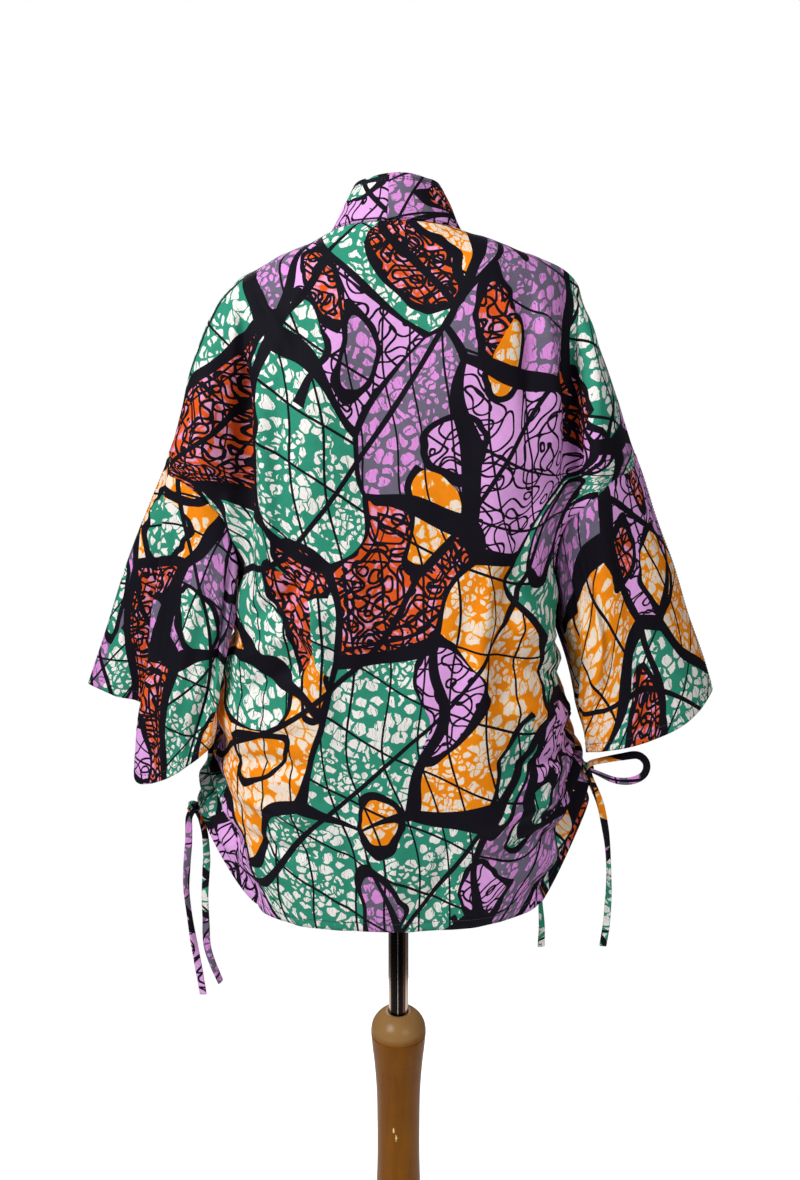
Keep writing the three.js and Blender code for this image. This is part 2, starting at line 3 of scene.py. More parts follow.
import bpy
import numpy as np
from mathutils import Euler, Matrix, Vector


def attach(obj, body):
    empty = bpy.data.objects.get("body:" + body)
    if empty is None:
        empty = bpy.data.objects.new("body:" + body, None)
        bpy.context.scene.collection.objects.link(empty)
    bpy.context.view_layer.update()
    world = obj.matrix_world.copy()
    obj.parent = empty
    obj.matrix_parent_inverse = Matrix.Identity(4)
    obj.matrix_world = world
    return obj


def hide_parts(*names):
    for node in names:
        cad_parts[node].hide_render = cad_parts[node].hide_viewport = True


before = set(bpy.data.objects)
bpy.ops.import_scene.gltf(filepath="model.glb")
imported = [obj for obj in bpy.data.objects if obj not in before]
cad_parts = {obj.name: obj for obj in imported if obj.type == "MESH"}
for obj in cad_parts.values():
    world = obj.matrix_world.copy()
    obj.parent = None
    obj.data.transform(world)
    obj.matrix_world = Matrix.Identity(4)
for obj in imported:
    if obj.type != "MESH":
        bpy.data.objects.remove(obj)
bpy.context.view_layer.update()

# Kimono jacket in printed cotton on a dress form. The tables are in millimetres, and the pieces in metres.
mm = 0.001


def say(text):
    print(f"[jacket] {text}", flush=True)


say("frame loaded")

# camera, at eye level behind the jacket
view = {"at": (-0.002, 1.1507, 1.229), "pitch": 11.0, "focal": 1000.0, "imageHeight": 1180.0, "sensor": 36.0}


def buildCamera():
    data = bpy.data.cameras.new("viewCamera")
    data.sensor_fit = "VERTICAL"
    data.sensor_height = view["sensor"]
    data.lens = view["sensor"] * view["focal"] / view["imageHeight"]
    data.clip_end = 60.0
    camera = bpy.data.objects.new("viewCamera", data)
    camera.location = view["at"]
    camera.rotation_euler = Euler((math.radians(90.0 - view["pitch"]), 0.0, math.pi), "XYZ")
    bpy.context.scene.collection.objects.link(camera)
    bpy.context.scene.camera = camera


buildCamera()
say("camera placed")


# ---- curves and tables
def tableOf(names, rows):
    return {name: np.array([row[i] for row in rows], float) for i, name in enumerate(names.split())}


def mix(a, b, f):
    return a + (b - a) * f


def ease(low, high, x):
    f = np.clip((x - low) / (high - low), 0.0, 1.0)
    return f * f * (3.0 - 2.0 * f)


# a smooth curve through evenly numbered values; a second axis gives each point a curve of its own
def along(values, at):
    values, at = np.asarray(values, float), np.asarray(at, float)
    last = len(values) - 1
    ends = np.concatenate([2 * values[:1] - values[1:2], values, 2 * values[-1:] - values[-2:-1]])
    i = np.clip(np.floor(at).astype(int), 0, last - 1)
    f = at - i
    own = (np.arange(len(at)),) if values.ndim == 2 else ()
    p = [ends[(i + k,) + own] for k in range(4)]
    return 0.5 * (2 * p[1] + (p[2] - p[0]) * f + (2 * p[0] - 5 * p[1] + 4 * p[2] - p[3]) * f * f
                  + (3 * p[1] - p[0] - 3 * p[2] + p[3]) * f * f * f)


def circle(count):  # this many angles, once round
    return np.linspace(0, 2 * np.pi, count + 1)[:-1]


def unit(vectors):
    return vectors / np.linalg.norm(vectors, axis=-1, keepdims=True)


def lengthAlong(points):  # the distance along a path, from its first point
    return np.concatenate([[0], np.cumsum(np.linalg.norm(np.diff(points, axis=0), axis=1))])


def readAlong(points, run, at):  # what a path holds at these distances
    return np.stack([np.interp(at, run, points[:, k]) for k in range(3)], axis=1)


def smoothPath(points, count):  # a smooth curve through given points, evenly spaced
    points = np.asarray(points, float)
    fine = np.linspace(0, len(points) - 1, 40 * len(points))
    dense = np.stack([along(points[:, k], fine) for k in range(3)], axis=1)
    run = lengthAlong(dense)
    return readAlong(dense, run, np.linspace(0, run[-1], count))


def softNoise(x, z, size, seed):  # a smooth field between about -1 and 1, with swells of about this size
    draw = np.random.default_rng(seed)
    total = np.zeros_like(x)
    for _ in range(7):
        angle, turn = draw.uniform(0, 2 * np.pi, 2)
        pitch = 2 * np.pi / (size * draw.uniform(0.7, 1.6))
        total += np.sin((x * np.cos(angle) + z * np.sin(angle)) * pitch + turn)
    return total / 3.0


# ---- the garment's own sizes, as in the part's source
cut = {"cloth": 1.2, "band": 2.4, "bandWidth": 50.0, "sway": 10.0, "neckSway": 2.0,
       "seam": 1.3, "seamWidth": 3.2, "creaseDepth": 1.7}

backRows = tableOf("edge centre yC xB yB xV yV xF yF xE yE more", [
    [1400, 1408, 60, 28, 57, 53, 43, 68, 24, 74, 4, 1],
    [1386, 1392, 71, 44, 68, 76, 52, 94, 31, 103, 2, 28],
    [1370, 1373, 80, 62, 78, 108, 59, 133, 36, 147, 0, 29],
    [1353, 1355, 87, 72, 86, 130, 66, 160, 42, 179, -1, 19],
    [1330, 1330, 94, 80, 94, 146, 71, 180, 46, 196, -2, 11],
    [1290, 1290, 101, 88, 104, 157, 76, 193, 52, 211, -4, 13],
    [1226, 1226, 108, 92, 112, 164, 79, 213, 58, 239, -6, 11],
    [1195, 1195, 110, 93, 115, 165, 81, 223, 59, 252, -7, 9],
    [1165, 1165, 112, 94, 117, 166, 83, 231, 60, 265, -8, 8],
    [1150, 1148, 113, 94, 117, 158, 87, 214, 69, 249, 44, 7],
    [1134, 1132, 114, 94, 118, 150, 89, 190, 77, 222, 64, 4],
    [1092, 1090, 116, 94, 118, 140, 96, 166, 88, 187, 78, 0],
    [1046, 1044, 117, 94, 118, 142, 95, 164, 80, 176, 58, 0],
    [1008, 1004, 118, 95, 117, 152, 90, 179, 54, 187, 16, 0],
    [960, 948, 119, 95, 117, 154, 90, 180, 52, 189, 8, 0],
    [900, 872, 121, 98, 118, 158, 92, 186, 56, 195, 10, 0],
    [838, 796, 123, 102, 118, 162, 93, 192, 60, 204, 24, 3],
    [786, 736, 124, 100, 117, 152, 99, 184, 76, 197, 52, 7],
    [728, 686, 123, 92, 117, 138, 103, 166, 88, 180, 72, 14],
    [655, 637, 121, 82, 115, 116, 106, 136, 99, 152, 92, 19],
])
frontRows = tableOf("side middle x1 y1 x2 y2 x3 y3 x4 y4", [
    [1400, 1398, 74, 1, 74, -2, 74, -5, 73, -8],
    [1385, 1384, 98, -12, 90, -24, 80, -31, 71, -36],
    [1369, 1368, 138, -20, 118, -42, 94, -52, 71, -58],
    [1352, 1351, 166, -32, 138, -56, 103, -68, 71, -74],
    [1330, 1330, 182, -42, 150, -70, 110, -84, 71, -89],
    [1290, 1290, 195, -48, 158, -80, 114, -98, 71, -103],
    [1226, 1226, 216, -56, 166, -88, 116, -110, 71, -115],
    [1195, 1195, 225, -59, 168, -90, 117, -113, 71, -118],
    [1165, 1165, 232, -62, 170, -92, 118, -116, 71, -120],
    [1150, 1148, 218, -72, 164, -95, 116, -115, 71, -119],
    [1134, 1130, 196, -82, 156, -97, 114, -114, 71, -118],
    [1094, 1090, 172, -92, 146, -101, 112, -113, 71, -116],
    [1046, 1044, 168, -80, 146, -96, 110, -108, 71, -113],
    [1008, 1004, 182, -36, 153, -82, 112, -104, 71, -111],
    [962, 948, 183, -40, 153, -84, 112, -105, 71, -111],
    [906, 872, 190, -42, 158, -86, 114, -107, 71, -113],
    [852, 796, 205, -30, 174, -80, 120, -108, 71, -116],
    [818, 736, 220, -10, 188, -76, 124, -110, 71, -119],
    [784, 686, 233, 4, 196, -70, 126, -110, 71, -120],
    [748, 634, 234, 6, 196, -66, 122, -106, 71, -118],
])
armholeTop, armholeFoot, armholeSteps = 8, 13, 12
frontArmhole = tableOf("x y", [[265, -8], [250, -50], [224, -70], [190, -84], [180, -62], [187, 16]])
sleeveLines = {
    "left": tableOf("at xMid yMid zMid xEnd yEnd zEnd", [
        [0, 326, -12, 1020, 377, -18, 888],
        [1, 300, 6, 1012, 342, -2, 876],
        [2, 272, 16, 1002, 303, 6, 862],
        [3, 277, 52, 982, 305, 62, 798],
        [6, 238, 76, 952, 267, 82, 802],
        [9, 197, 76, 934, 224, 78, 828],
        [12, 199, 52, 930, 208, 62, 846],
        [15, 222, -14, 938, 232, 4, 852],
        [18, 250, -54, 968, 268, -36, 862],
        [21, 298, -48, 1004, 330, -38, 876],
    ]),
    "right": tableOf("at xMid yMid zMid xEnd yEnd zEnd", [
        [0, 326, -4, 1022, 376, -2, 886],
        [3, 301, 44, 1000, 340, 46, 864],
        [6, 252, 64, 966, 291, 64, 843],
        [9, 227, 68, 950, 243, 62, 829],
        [10.5, 221, 52, 948, 233, 44, 822],
        [12, 218, 16, 944, 236, 14, 816],
        [15, 216, -26, 946, 258, -22, 826],
        [18, 254, -56, 968, 298, -46, 846],
        [21, 304, -44, 1006, 350, -36, 868],
    ]),
}
backFolds = [  # xTop, zTop, xFoot, zFoot, lift, inner, outer, roll
    (200, 1320, 244, 1120, 13, 34, 9, 9),
    (128, 1270, 150, 1050, 7, 20, 18, 0),
    (168, 1250, 178, 1100, -9, 16, 20, 0),
    (196, 1230, 206, 1120, 6, 16, 14, 0),
    (-190, 1350, -186, 1040, -20, 20, 11, 0),
    (-214, 1340, -214, 1110, 13, 10, 40, 0),
    (-142, 1230, -160, 1060, 6, 18, 18, 0),
    (60, 1020, 96, 800, 7, 34, 34, 0),
    (-70, 1010, -104, 760, 8, 36, 36, 0),
    (10, 900, 14, 690, 6, 40, 40, 0),
]
frontFolds = [
    (176, 1300, 168, 1050, -8, 24, 24, 0),
    (-178, 1300, -170, 1050, -8, 24, 24, 0),
    (118, 1180, 130, 760, 7, 30, 30, 0),
    (-120, 1170, -134, 740, 7, 30, 30, 0),
]
gathers = {"count": 6, "from": 0.06, "depth": 6.2, "reach": 0.3, "slant": 0.16,
           "ripples": 10, "rippleDepth": 1.7, "rippleReach": 0.15}
bandTurns = tableOf("along dx dy dz", [
    [0, 0, -0.2, 1], [42, -0.2, -0.28, 0.92], [80, -0.42, -0.06, 0.9], [112, -0.62, 0.04, 0.74],
    [150, -0.84, -0.06, 0.48], [210, -0.96, -0.16, 0.18], [310, -1, -0.14, 0.02], [900, -1, -0.04, 0]])

# small creases of the back and of a front: xTop, zTop, xFoot, zFoot, lift, width
backCreases = [
    (163, 1300, 166, 1036, -11, 8), (140, 1262, 137, 1034, 7, 9), (186, 1120, 176, 1052, 6, 9),
    (170, 1330, 158, 1240, 3.5, 8),
    (118, 1300, 122, 1150, -3, 12), (120, 1060, 106, 900, -4.5, 10), (97, 1044, 84, 888, 4, 11),
    (73, 1018, 57, 896, -4, 12), (146, 1346, 116, 1262, -3.2, 9), (88, 1352, 122, 1290, 2.6, 9),
    (24, 1120, 10, 960, -2.4, 16), (-148, 1338, -170, 1140, 5, 9), (-128, 1310, -142, 1160, -3.5, 10),
    (-96, 1344, -132, 1276, 2.6, 9), (-126, 1060, -112, 900, -4.5, 11), (-100, 1048, -84, 880, 4, 11),
    (-72, 1020, -54, 890, -3.2, 12), (164, 992, 76, 1052, -4, 9), (178, 940, 84, 996, 3.6, 9),
    (184, 898, 78, 962, -4.5, 10), (188, 858, 78, 900, 4.5, 9), (192, 822, 86, 836, -5, 9),
    (188, 786, 80, 776, 4.2, 9), (176, 744, 80, 724, -4, 9), (-176, 992, -90, 1054, -4, 9),
    (-188, 950, -96, 1004, 3.6, 9), (-198, 912, -90, 968, -4.5, 10), (-202, 868, -100, 898, 4.5, 9),
    (-204, 824, -102, 834, -5, 9), (-197, 786, -94, 764, 4.2, 9), (-182, 744, -92, 716, -4, 9),
    (-177, 1338, -192, 1140, -4.5, 7), (-192, 1338, -208, 1140, 3.5, 7),
    (60, 752, 50, 650, -2.6, 10), (-52, 748, -42, 650, -2.6, 10), (6, 740, 2, 640, 2.4, 12),
]
frontCreases = [
    (200, 872, 130, 920, -3.4, 8), (206, 838, 128, 858, -3.4, 8), (212, 800, 134, 796, -3, 9),
    (212, 770, 136, 738, -2.8, 9), (158, 1150, 120, 1010, -2.6, 11), (110, 1000, 104, 820, 2.2, 12),
]
sleeveCreases = {  # at at the top, v at the top, at and v at the foot, lift, width
    "left": [(4.2, 0.1, 4.6, 0.95, -4.2, 9), (6.8, 0.06, 5.6, 0.9, 6, 10), (8.6, 0.02, 8.0, 0.85, -11, 9),
             (10.4, 0.05, 9.8, 0.8, 5, 7), (2.2, 0.3, 2.4, 1.0, -2.4, 7), (20, 0.1, 19, 0.9, -2.6, 10),
             (16, 0.05, 17, 0.7, 2.4, 9)],
    "right": [(6.9, 0.02, 10.6, 1.0, 6.5, 7), (8.9, 0.02, 12.2, 0.95, -9, 8), (5.0, 0.1, 5.6, 0.8, -2.4, 10),
              (2.4, 0.2, 3.4, 0.9, 1.8, 12), (20, 0.1, 19, 0.9, -2.6, 10), (16, 0.05, 17, 0.7, 2.4, 9)],
}
sideSwells = [(1, 905, 60, 15), (-1, 965, 40, -8)]    # side, height, reach, how far the side is pushed out
wallPush = {"left": 8, "right": 21}    # how far the wall of a sleeve that faces the body is moved

rowCount = len(backRows["edge"]) - 1


def sideShare(row):
    return (row - armholeFoot) / (rowCount - armholeFoot)


def swayAt(z):
    return cut["sway"] * ease(1000, 650, z) + cut["neckSway"] * ease(1366, 1400, z)


def edgeColumn(key, row):  # the rows' outer ends, which turn a corner where the armhole starts and ends
    out = np.zeros_like(row)
    for low, high in ((0, armholeTop), (armholeTop, armholeFoot), (armholeFoot, rowCount)):
        here = (row >= low) & (row <= high)
        out[here] = along(backRows[key][low:high + 1], row[here] - low)
    return out


def foldShift(folds, x, z):
    lift, roll = np.zeros_like(x), np.zeros_like(x)
    for xTop, zTop, xFoot, zFoot, rise, inner, outer, tip in folds:
        down = (zTop - z) / (zTop - zFoot)
        outward = (x - mix(xTop, xFoot, down)) * np.sign(xTop)
        width = np.where(outward < 0, inner, outer)
        share = np.exp(-(outward / width) ** 2) * ease(-0.25, 0.15, down) * ease(1.25, 0.85, down)
        lift += rise * share
        roll += tip * share * np.sign(xTop)
    return roll, lift


def drape(x, y, z):
    for side, height, reach, push in sideSwells:
        x = x + side * push * np.exp(-((z - height) / reach) ** 2) * ease(150, 200, x * side)
    onBack, onFront = ease(2, 30, y), ease(-2, -30, y)
    rollBack, liftBack = foldShift(backFolds, x, z)
    rollFront, liftFront = foldShift(frontFolds, x, z)
    return np.stack([x + rollBack * onBack + rollFront * onFront,
                     y + liftBack * onBack - liftFront * onFront, z], axis=-1)


def gatherRun(share):  # 0 above the gathers and 1 at the hem
    return np.maximum(0, (share - gathers["from"]) / (1 - gathers["from"]))


def gather(share, away):
    run = gatherRun(share)
    wave = np.sin((run + away * gathers["slant"]) * gathers["count"] * 2 * np.pi)
    return gathers["depth"] * wave * ease(0, 0.14, run) * np.exp(-(away / gathers["reach"]) ** 2)


def ripple(share, away, seed):  # the finer puckers that the drawn cord leaves
    run = gatherRun(share)
    drift = 0.8 * softNoise(run * 10, away * 10, 4.0, seed)
    wave = np.sin((run * gathers["ripples"] + away * 2.2 + drift) * 2 * np.pi)
    size = 0.6 + 0.6 * softNoise(run * 10, away * 4, 2.5, seed + 1)
    fade = ease(0, 0.1, run) * np.exp(-(away / gathers["rippleReach"]) ** 2)
    return gathers["rippleDepth"] * wave * size * fade


def backPoint(u, row):  # u from -1 at the right end to 1 at the left end
    side, out = np.where(u < 0, -1.0, 1.0), np.abs(u)
    get = {key: along(backRows[key], row) for key in backRows}
    xs = np.stack([-get["xB"], 0 * out, get["xB"], get["xV"], get["xF"], edgeColumn("xE", row)])
    ys = np.stack([get["yB"], get["yC"], get["yB"], get["yV"], get["yF"], edgeColumn("yE", row)])
    more = np.where(side < 0, get["more"] * out * out, 0.0)
    puff = gather(sideShare(row), 1 - out)
    z = mix(get["centre"], get["edge"], out ** 2.2)
    x = along(xs, out * 4 + 1) + more + puff * 0.75
    return drape(side * x + swayAt(z), along(ys, out * 4 + 1) + puff * 0.6, z)


def frontPoint(side, u, row):  # u from 0 at the side to 1 at the front edge
    onArmhole = (row > armholeTop) & (row < armholeFoot)
    place = np.clip(row - armholeTop, 0, armholeFoot - armholeTop)

    def across(key):
        start = np.where(onArmhole, along(frontArmhole[key], place), edgeColumn(key + "E", row))
        return along(np.stack([start] + [along(frontRows[key + str(i)], row) for i in (1, 2, 3, 4)]), u * 4)

    edge, sideZ, middle = (along(t, row) for t in (backRows["edge"], frontRows["side"], frontRows["middle"]))
    z = np.where(u < 0.25, mix(edge, sideZ, ease(0, 0.25, u)), mix(sideZ, middle, (u - 0.25) / 0.75))
    more = along(backRows["more"], row) * (1 - u) ** np.where(row > armholeFoot, 6, 2) if side < 0 else 0.0
    puff = gather(sideShare(row), u)
    y = across("y") + puff * 0.6 * (1 - 2 * ease(0, 0.4, u))
    return drape(side * (across("x") + more + puff * 0.75) + swayAt(z), y, z)


def armholePoint(side, at):
    half = np.where(at <= armholeSteps, at, 2 * armholeSteps - at)
    row = armholeTop + (armholeFoot - armholeTop) * half / armholeSteps
    onBack = (at <= armholeSteps)[:, None]
    return np.where(onBack, backPoint(side + 0 * row, row), frontPoint(side, 0 * row, row))


def innerWall(side, turn, v):
    if side > 0:
        around, down = ease(8.5, 10.5, turn) * ease(16, 14, turn), np.exp(-((v - 0.55) / 0.25) ** 2)
        return wallPush["left"] * around * down
    around, down = ease(8, 11, turn) * ease(16, 13.5, turn), ease(0, 0.45, v) * (1 - 0.55 * ease(0.75, 1, v))
    return wallPush["right"] * around * down


def sleevePoint(side, at, v):  # v from 0 at the armhole to 1 at the cuff
    lines = sleeveLines["left" if side > 0 else "right"]
    turn = np.mod(at, 2 * armholeSteps)
    stops = np.append(lines["at"], 2 * armholeSteps)
    k = np.searchsorted(stops[1:], turn, side="left")
    place = k + (turn - stops[k]) / (stops[k + 1] - stops[k])
    start = armholePoint(side, turn)
    points = []
    for axis, name in enumerate("xyz"):
        ring = {end: np.concatenate([lines[name + end][-2:], lines[name + end], lines[name + end][:3]])
                for end in ("Mid", "End")}
        sign = side if name == "x" else 1.0
        lower = [sign * along(ring[end], place + 2) for end in ("Mid", "End")]
        points.append(along(np.stack([start[:, axis]] + lower), v * 2))
    points[0] = points[0] + innerWall(side, turn, v)
    return np.stack(points, axis=-1)


# ---- sheets of cloth
def gridOf(surface, columns, rows):
    a, b = np.meshgrid(columns, rows)
    return surface(a.ravel(), b.ravel()).reshape(len(rows), len(columns), 3)


def normalsOf(grid, turned, ring=False):
    wide = np.concatenate([grid[:, -2:-1], grid, grid[:, 1:2]], axis=1) if ring else grid
    across = np.gradient(wide, axis=1)
    across = across[:, 1:-1] if ring else across
    normal = np.cross(across, np.gradient(grid, axis=0)) * turned
    return normal / np.maximum(np.linalg.norm(normal, axis=2, keepdims=True), 1e-9)


def runs(grid, axis):  # distance along the cloth, from the first row or column
    step = np.linalg.norm(np.diff(grid, axis=axis), axis=2)
    return np.insert(np.cumsum(step, axis=axis), 0, 0.0, axis=axis)


def smoothed(field, axis, reach):  # evens a field out along one axis
    for _ in range(2):
        lead = [(0, 0), (0, 0)]
        lead[axis] = (reach, reach)
        total = np.cumsum(np.pad(field, lead, mode="edge"), axis=axis)
        ahead, behind = ([slice(None)] * 2 for _ in range(2))
        ahead[axis], behind[axis] = slice(2 * reach, None), slice(0, -2 * reach)
        field = (total[tuple(ahead)] - total[tuple(behind)]) / (2 * reach)
    return field


def clothMap(grid, start, fromTop):  # the flat place of each point: across from a start column, and down
    s, t = runs(grid, 1), runs(grid, 0)
    across = smoothed(s - s[:, start:start + 1], 0, 14)
    down = mix(t[:, start:start + 1], smoothed(t, 1, 8), 0.45)
    return across, -down - fromTop


def creaseLift(creases, x, z):
    lift = np.zeros_like(x)
    for x0, z0, x1, z1, rise, width in creases:
        reach = np.hypot(x1 - x0, z1 - z0)
        dx, dz = (x1 - x0) / reach, (z1 - z0) / reach
        down = ((x - x0) * dx + (z - z0) * dz) / reach
        off = (x - x0) * dz - (z - z0) * dx + 3.0 * np.sin(down * 4.0 + x0)
        taper = ease(-0.15, 0.3, down) * ease(1.25, 0.6, down)
        lift += rise * np.exp(-(off / (width * (0.7 + 0.6 * np.clip(down, 0, 1)))) ** 2) * taper
    return lift * cut["creaseDepth"]


def meshFrom(name, vertices, faces, uv=None):
    mesh = bpy.data.meshes.new(name)
    mesh.from_pydata(vertices.tolist(), [], faces.tolist() if hasattr(faces, "tolist") else faces)
    if uv is not None:
        layer = mesh.uv_layers.new(name="clothMap")
        loops = np.empty(len(mesh.loops), int)
        mesh.loops.foreach_get("vertex_index", loops)
        layer.data.foreach_set("uv", uv[loops].astype(np.float32).ravel())
    mesh.validate()
    mesh.shade_smooth()
    piece = bpy.data.objects.new(name, mesh)
    bpy.context.scene.collection.objects.link(piece)
    return piece


def gridFaces(rows, columns, turned, wrap=False):
    j, i = np.meshgrid(np.arange(rows - 1), np.arange(columns if wrap else columns - 1), indexing="ij")
    a, b = j * columns + i, j * columns + (i + 1) % columns
    quads = np.stack([a, b, b + columns, a + columns], axis=-1).reshape(-1, 4)
    return quads if turned > 0 else quads[:, ::-1]


def closedFaces(rows, columns, turned):  # a tube's faces and its two ends
    faces = gridFaces(rows, columns, turned, wrap=True).tolist()
    first, last = list(range(columns)), list(range((rows - 1) * columns, rows * columns))
    return faces + ([first[::-1], last] if turned > 0 else [first, last[::-1]])


grids = {}    # the finished surfaces and their normals, for the stitching


def clothPiece(name, grid, normal, lift, uv, turned, ring=False):  # a sheet with its folds and its thickness
    grid = grid + normal * lift[..., None]
    grids[name] = (grid, normalsOf(grid, turned, ring))
    faces = gridFaces(*grid.shape[:2], turned)
    piece = meshFrom(name + "_cloth", grid.reshape(-1, 3) * mm, faces, uv.reshape(-1, 2) * mm)
    solid = piece.modifiers.new("thickness", "SOLIDIFY")
    solid.thickness, solid.offset = cut["cloth"] * mm, -1.0
    return piece


# print placement of each piece on the cloth, and how it is turned, in millimetres and degrees
placement = {
    "back_panel": (620, -240, 0), "front_left": (900, 140, 0), "front_right": (-900, 260, 0),
    "sleeve_left": (1930, 820, 8), "sleeve_right": (-2760, -130, -6),
    "collar_left": (410, 1480, 90), "collar_right": (-330, 1720, 90),
}


def placed(name, s, t):
    dx, dy, angle = placement[name]
    c, d = math.cos(math.radians(angle)), math.sin(math.radians(angle))
    return np.stack([s * c - t * d + dx, s * d + t * c + dy], axis=-1)


def edgeGroove(distance):  # cloth dips where it is sewn to the next piece
    return -cut["seam"] * np.exp(-(distance / cut["seamWidth"]) ** 2)


def rowsFrom(first, count):  # evenly spaced, from this row of the tables to the hem
    return first + (rowCount - first) * np.linspace(0, 1, count)


# the sheets' grids, how far from an edge their folds fade, and their soft swells as height, size and seed
backCut = {"columns": 233, "rows": 196, "swell": (1.8, 80, 3), "fine": (0.45, 26, 13), "rippleSeed": 11,
           "neckFade": 26, "sideFade": 6}
frontCut = {"columns": 97, "rows": 196, "firstRow": 0.1, "swell": (1.1, 74, 5), "rippleSeed": 23,
            "neckFade": 26, "sideFade": 6, "edgeFade": 20}
sleeveCut = {"columns": 193, "rows": 104, "swell": (1.3, 66, 31), "armholeFade": 16, "seamFade": 5,
             "topSeam": (1.4, 2.6)}
bandCut = {"join": 1 / 12, "overlap": 0.0022, "neckPoints": {1: 60, -1: 70}, "seamRows": 330, "across": 12,
           "round": 7, "swell": (0.9, 60, 41), "topStitch": 0.35, "easing": 12}


def backPanel():
    columns, rows = np.linspace(-1, 1, backCut["columns"]), rowsFrom(0.0, backCut["rows"])
    grid = gridOf(backPoint, columns, rows)
    u, row = np.meshgrid(columns, rows)
    normal = normalsOf(grid, 1)
    s, t = runs(grid, 1), runs(grid, 0)
    middle = len(columns) // 2
    uv = placed("back_panel", *clothMap(grid, middle, grid[0, middle, 2] - grid[0, :, 2]))
    fromSide = np.minimum(s, s[:, -1:] - s)
    x, z = grid[..., 0], grid[..., 2]
    lift = creaseLift(backCreases, x, z) + ripple(sideShare(row), 1 - np.abs(u), backCut["rippleSeed"])
    height, size, seed = backCut["swell"]
    lift += height * softNoise(x, z * 0.6, size, seed) * ease(0, 30, fromSide)
    height, size, seed = backCut["fine"]
    lift += height * softNoise(x, z * 0.5, size, seed)
    lift *= ease(0, backCut["neckFade"], t) * ease(0, backCut["sideFade"], fromSide)
    lift += edgeGroove(fromSide) + edgeGroove(t)
    return clothPiece("back_panel", grid, normal, lift, uv, 1)


def frontPanel(word, side):
    name = f"front_{word}"
    columns, rows = np.linspace(0, 1, frontCut["columns"]), rowsFrom(frontCut["firstRow"], frontCut["rows"])
    grid = gridOf(lambda u, row: frontPoint(side, u, row), columns, rows)
    u, row = np.meshgrid(columns, rows)
    normal = normalsOf(grid, side)
    s, t = runs(grid, 1), runs(grid, 0)
    across, down = clothMap(grid, len(columns) - 1, grid[0, -1, 2] - grid[0, :, 2])
    uv = placed(name, -side * across, down)
    x, z, fromEdge = grid[..., 0], grid[..., 2], s[:, -1:] - s
    lift = creaseLift(frontCreases, side * x, z) + ripple(sideShare(row), u, frontCut["rippleSeed"] + side)
    height, size, seed = frontCut["swell"]
    lift += height * softNoise(x, z * 0.6, size, seed + side)
    lift *= ease(0, frontCut["neckFade"], t) * ease(0, frontCut["sideFade"], s)
    lift *= ease(0, frontCut["edgeFade"], fromEdge)
    lift += edgeGroove(s) + edgeGroove(fromEdge) * ease(0, frontCut["edgeFade"], t)
    return clothPiece(name, grid, normal, lift, uv, side)


def sleeve(word, side):
    name = f"sleeve_{word}"
    columns = np.linspace(armholeSteps, 3 * armholeSteps, sleeveCut["columns"])
    rows = np.linspace(0, 1, sleeveCut["rows"])
    grid = gridOf(lambda at, v: sleevePoint(side, at, v), columns, rows)
    at, v = np.meshgrid(columns, rows)
    normal = normalsOf(grid, -side, ring=True)
    s, t = runs(grid, 1), runs(grid, 0)
    top = int(np.argmin(np.abs(columns - 2 * armholeSteps)))
    fromTop = s - s[:, top:top + 1]
    uv = placed(name, side * fromTop, -t)
    turn = np.mod(at, 2 * armholeSteps)
    perStep = s[:, -1:] / (2 * armholeSteps)
    lift = np.zeros_like(v)
    for at0, v0, at1, v1, rise, width in sleeveCreases[word]:
        down = (v - v0) / (v1 - v0)
        off = (turn - mix(at0, at1, down)) * perStep + 2.5 * np.sin(down * 5 + at0)
        lift += rise * np.exp(-(off / width) ** 2) * ease(-0.1, 0.25, down) * ease(1.3, 0.8, down)
    height, size, seed = sleeveCut["swell"]
    lift += height * softNoise(s, t * 0.5, size, seed + side)
    deep, wide = sleeveCut["topSeam"]
    lift -= deep * np.exp(-(fromTop / wide) ** 2)    # the seam along the top of the arm
    lift *= ease(0, sleeveCut["armholeFade"], t)
    lift += edgeGroove(t)
    lift *= ease(0, sleeveCut["seamFade"], np.minimum(s, s[:, -1:] - s))
    return clothPiece(name, grid, normal, lift, uv, -side, ring=True)


def bandSeam(side):  # the line that the collar band is sewn to, from the centre back to the foot of the front
    us = np.linspace(bandCut["join"] - bandCut["overlap"] * side, side, bandCut["neckPoints"][side])
    rows = rowsFrom(frontCut["firstRow"], bandCut["seamRows"])
    return np.concatenate([backPoint(us, 0 * us), frontPoint(side, 0 * rows + 1, rows)[1:]])


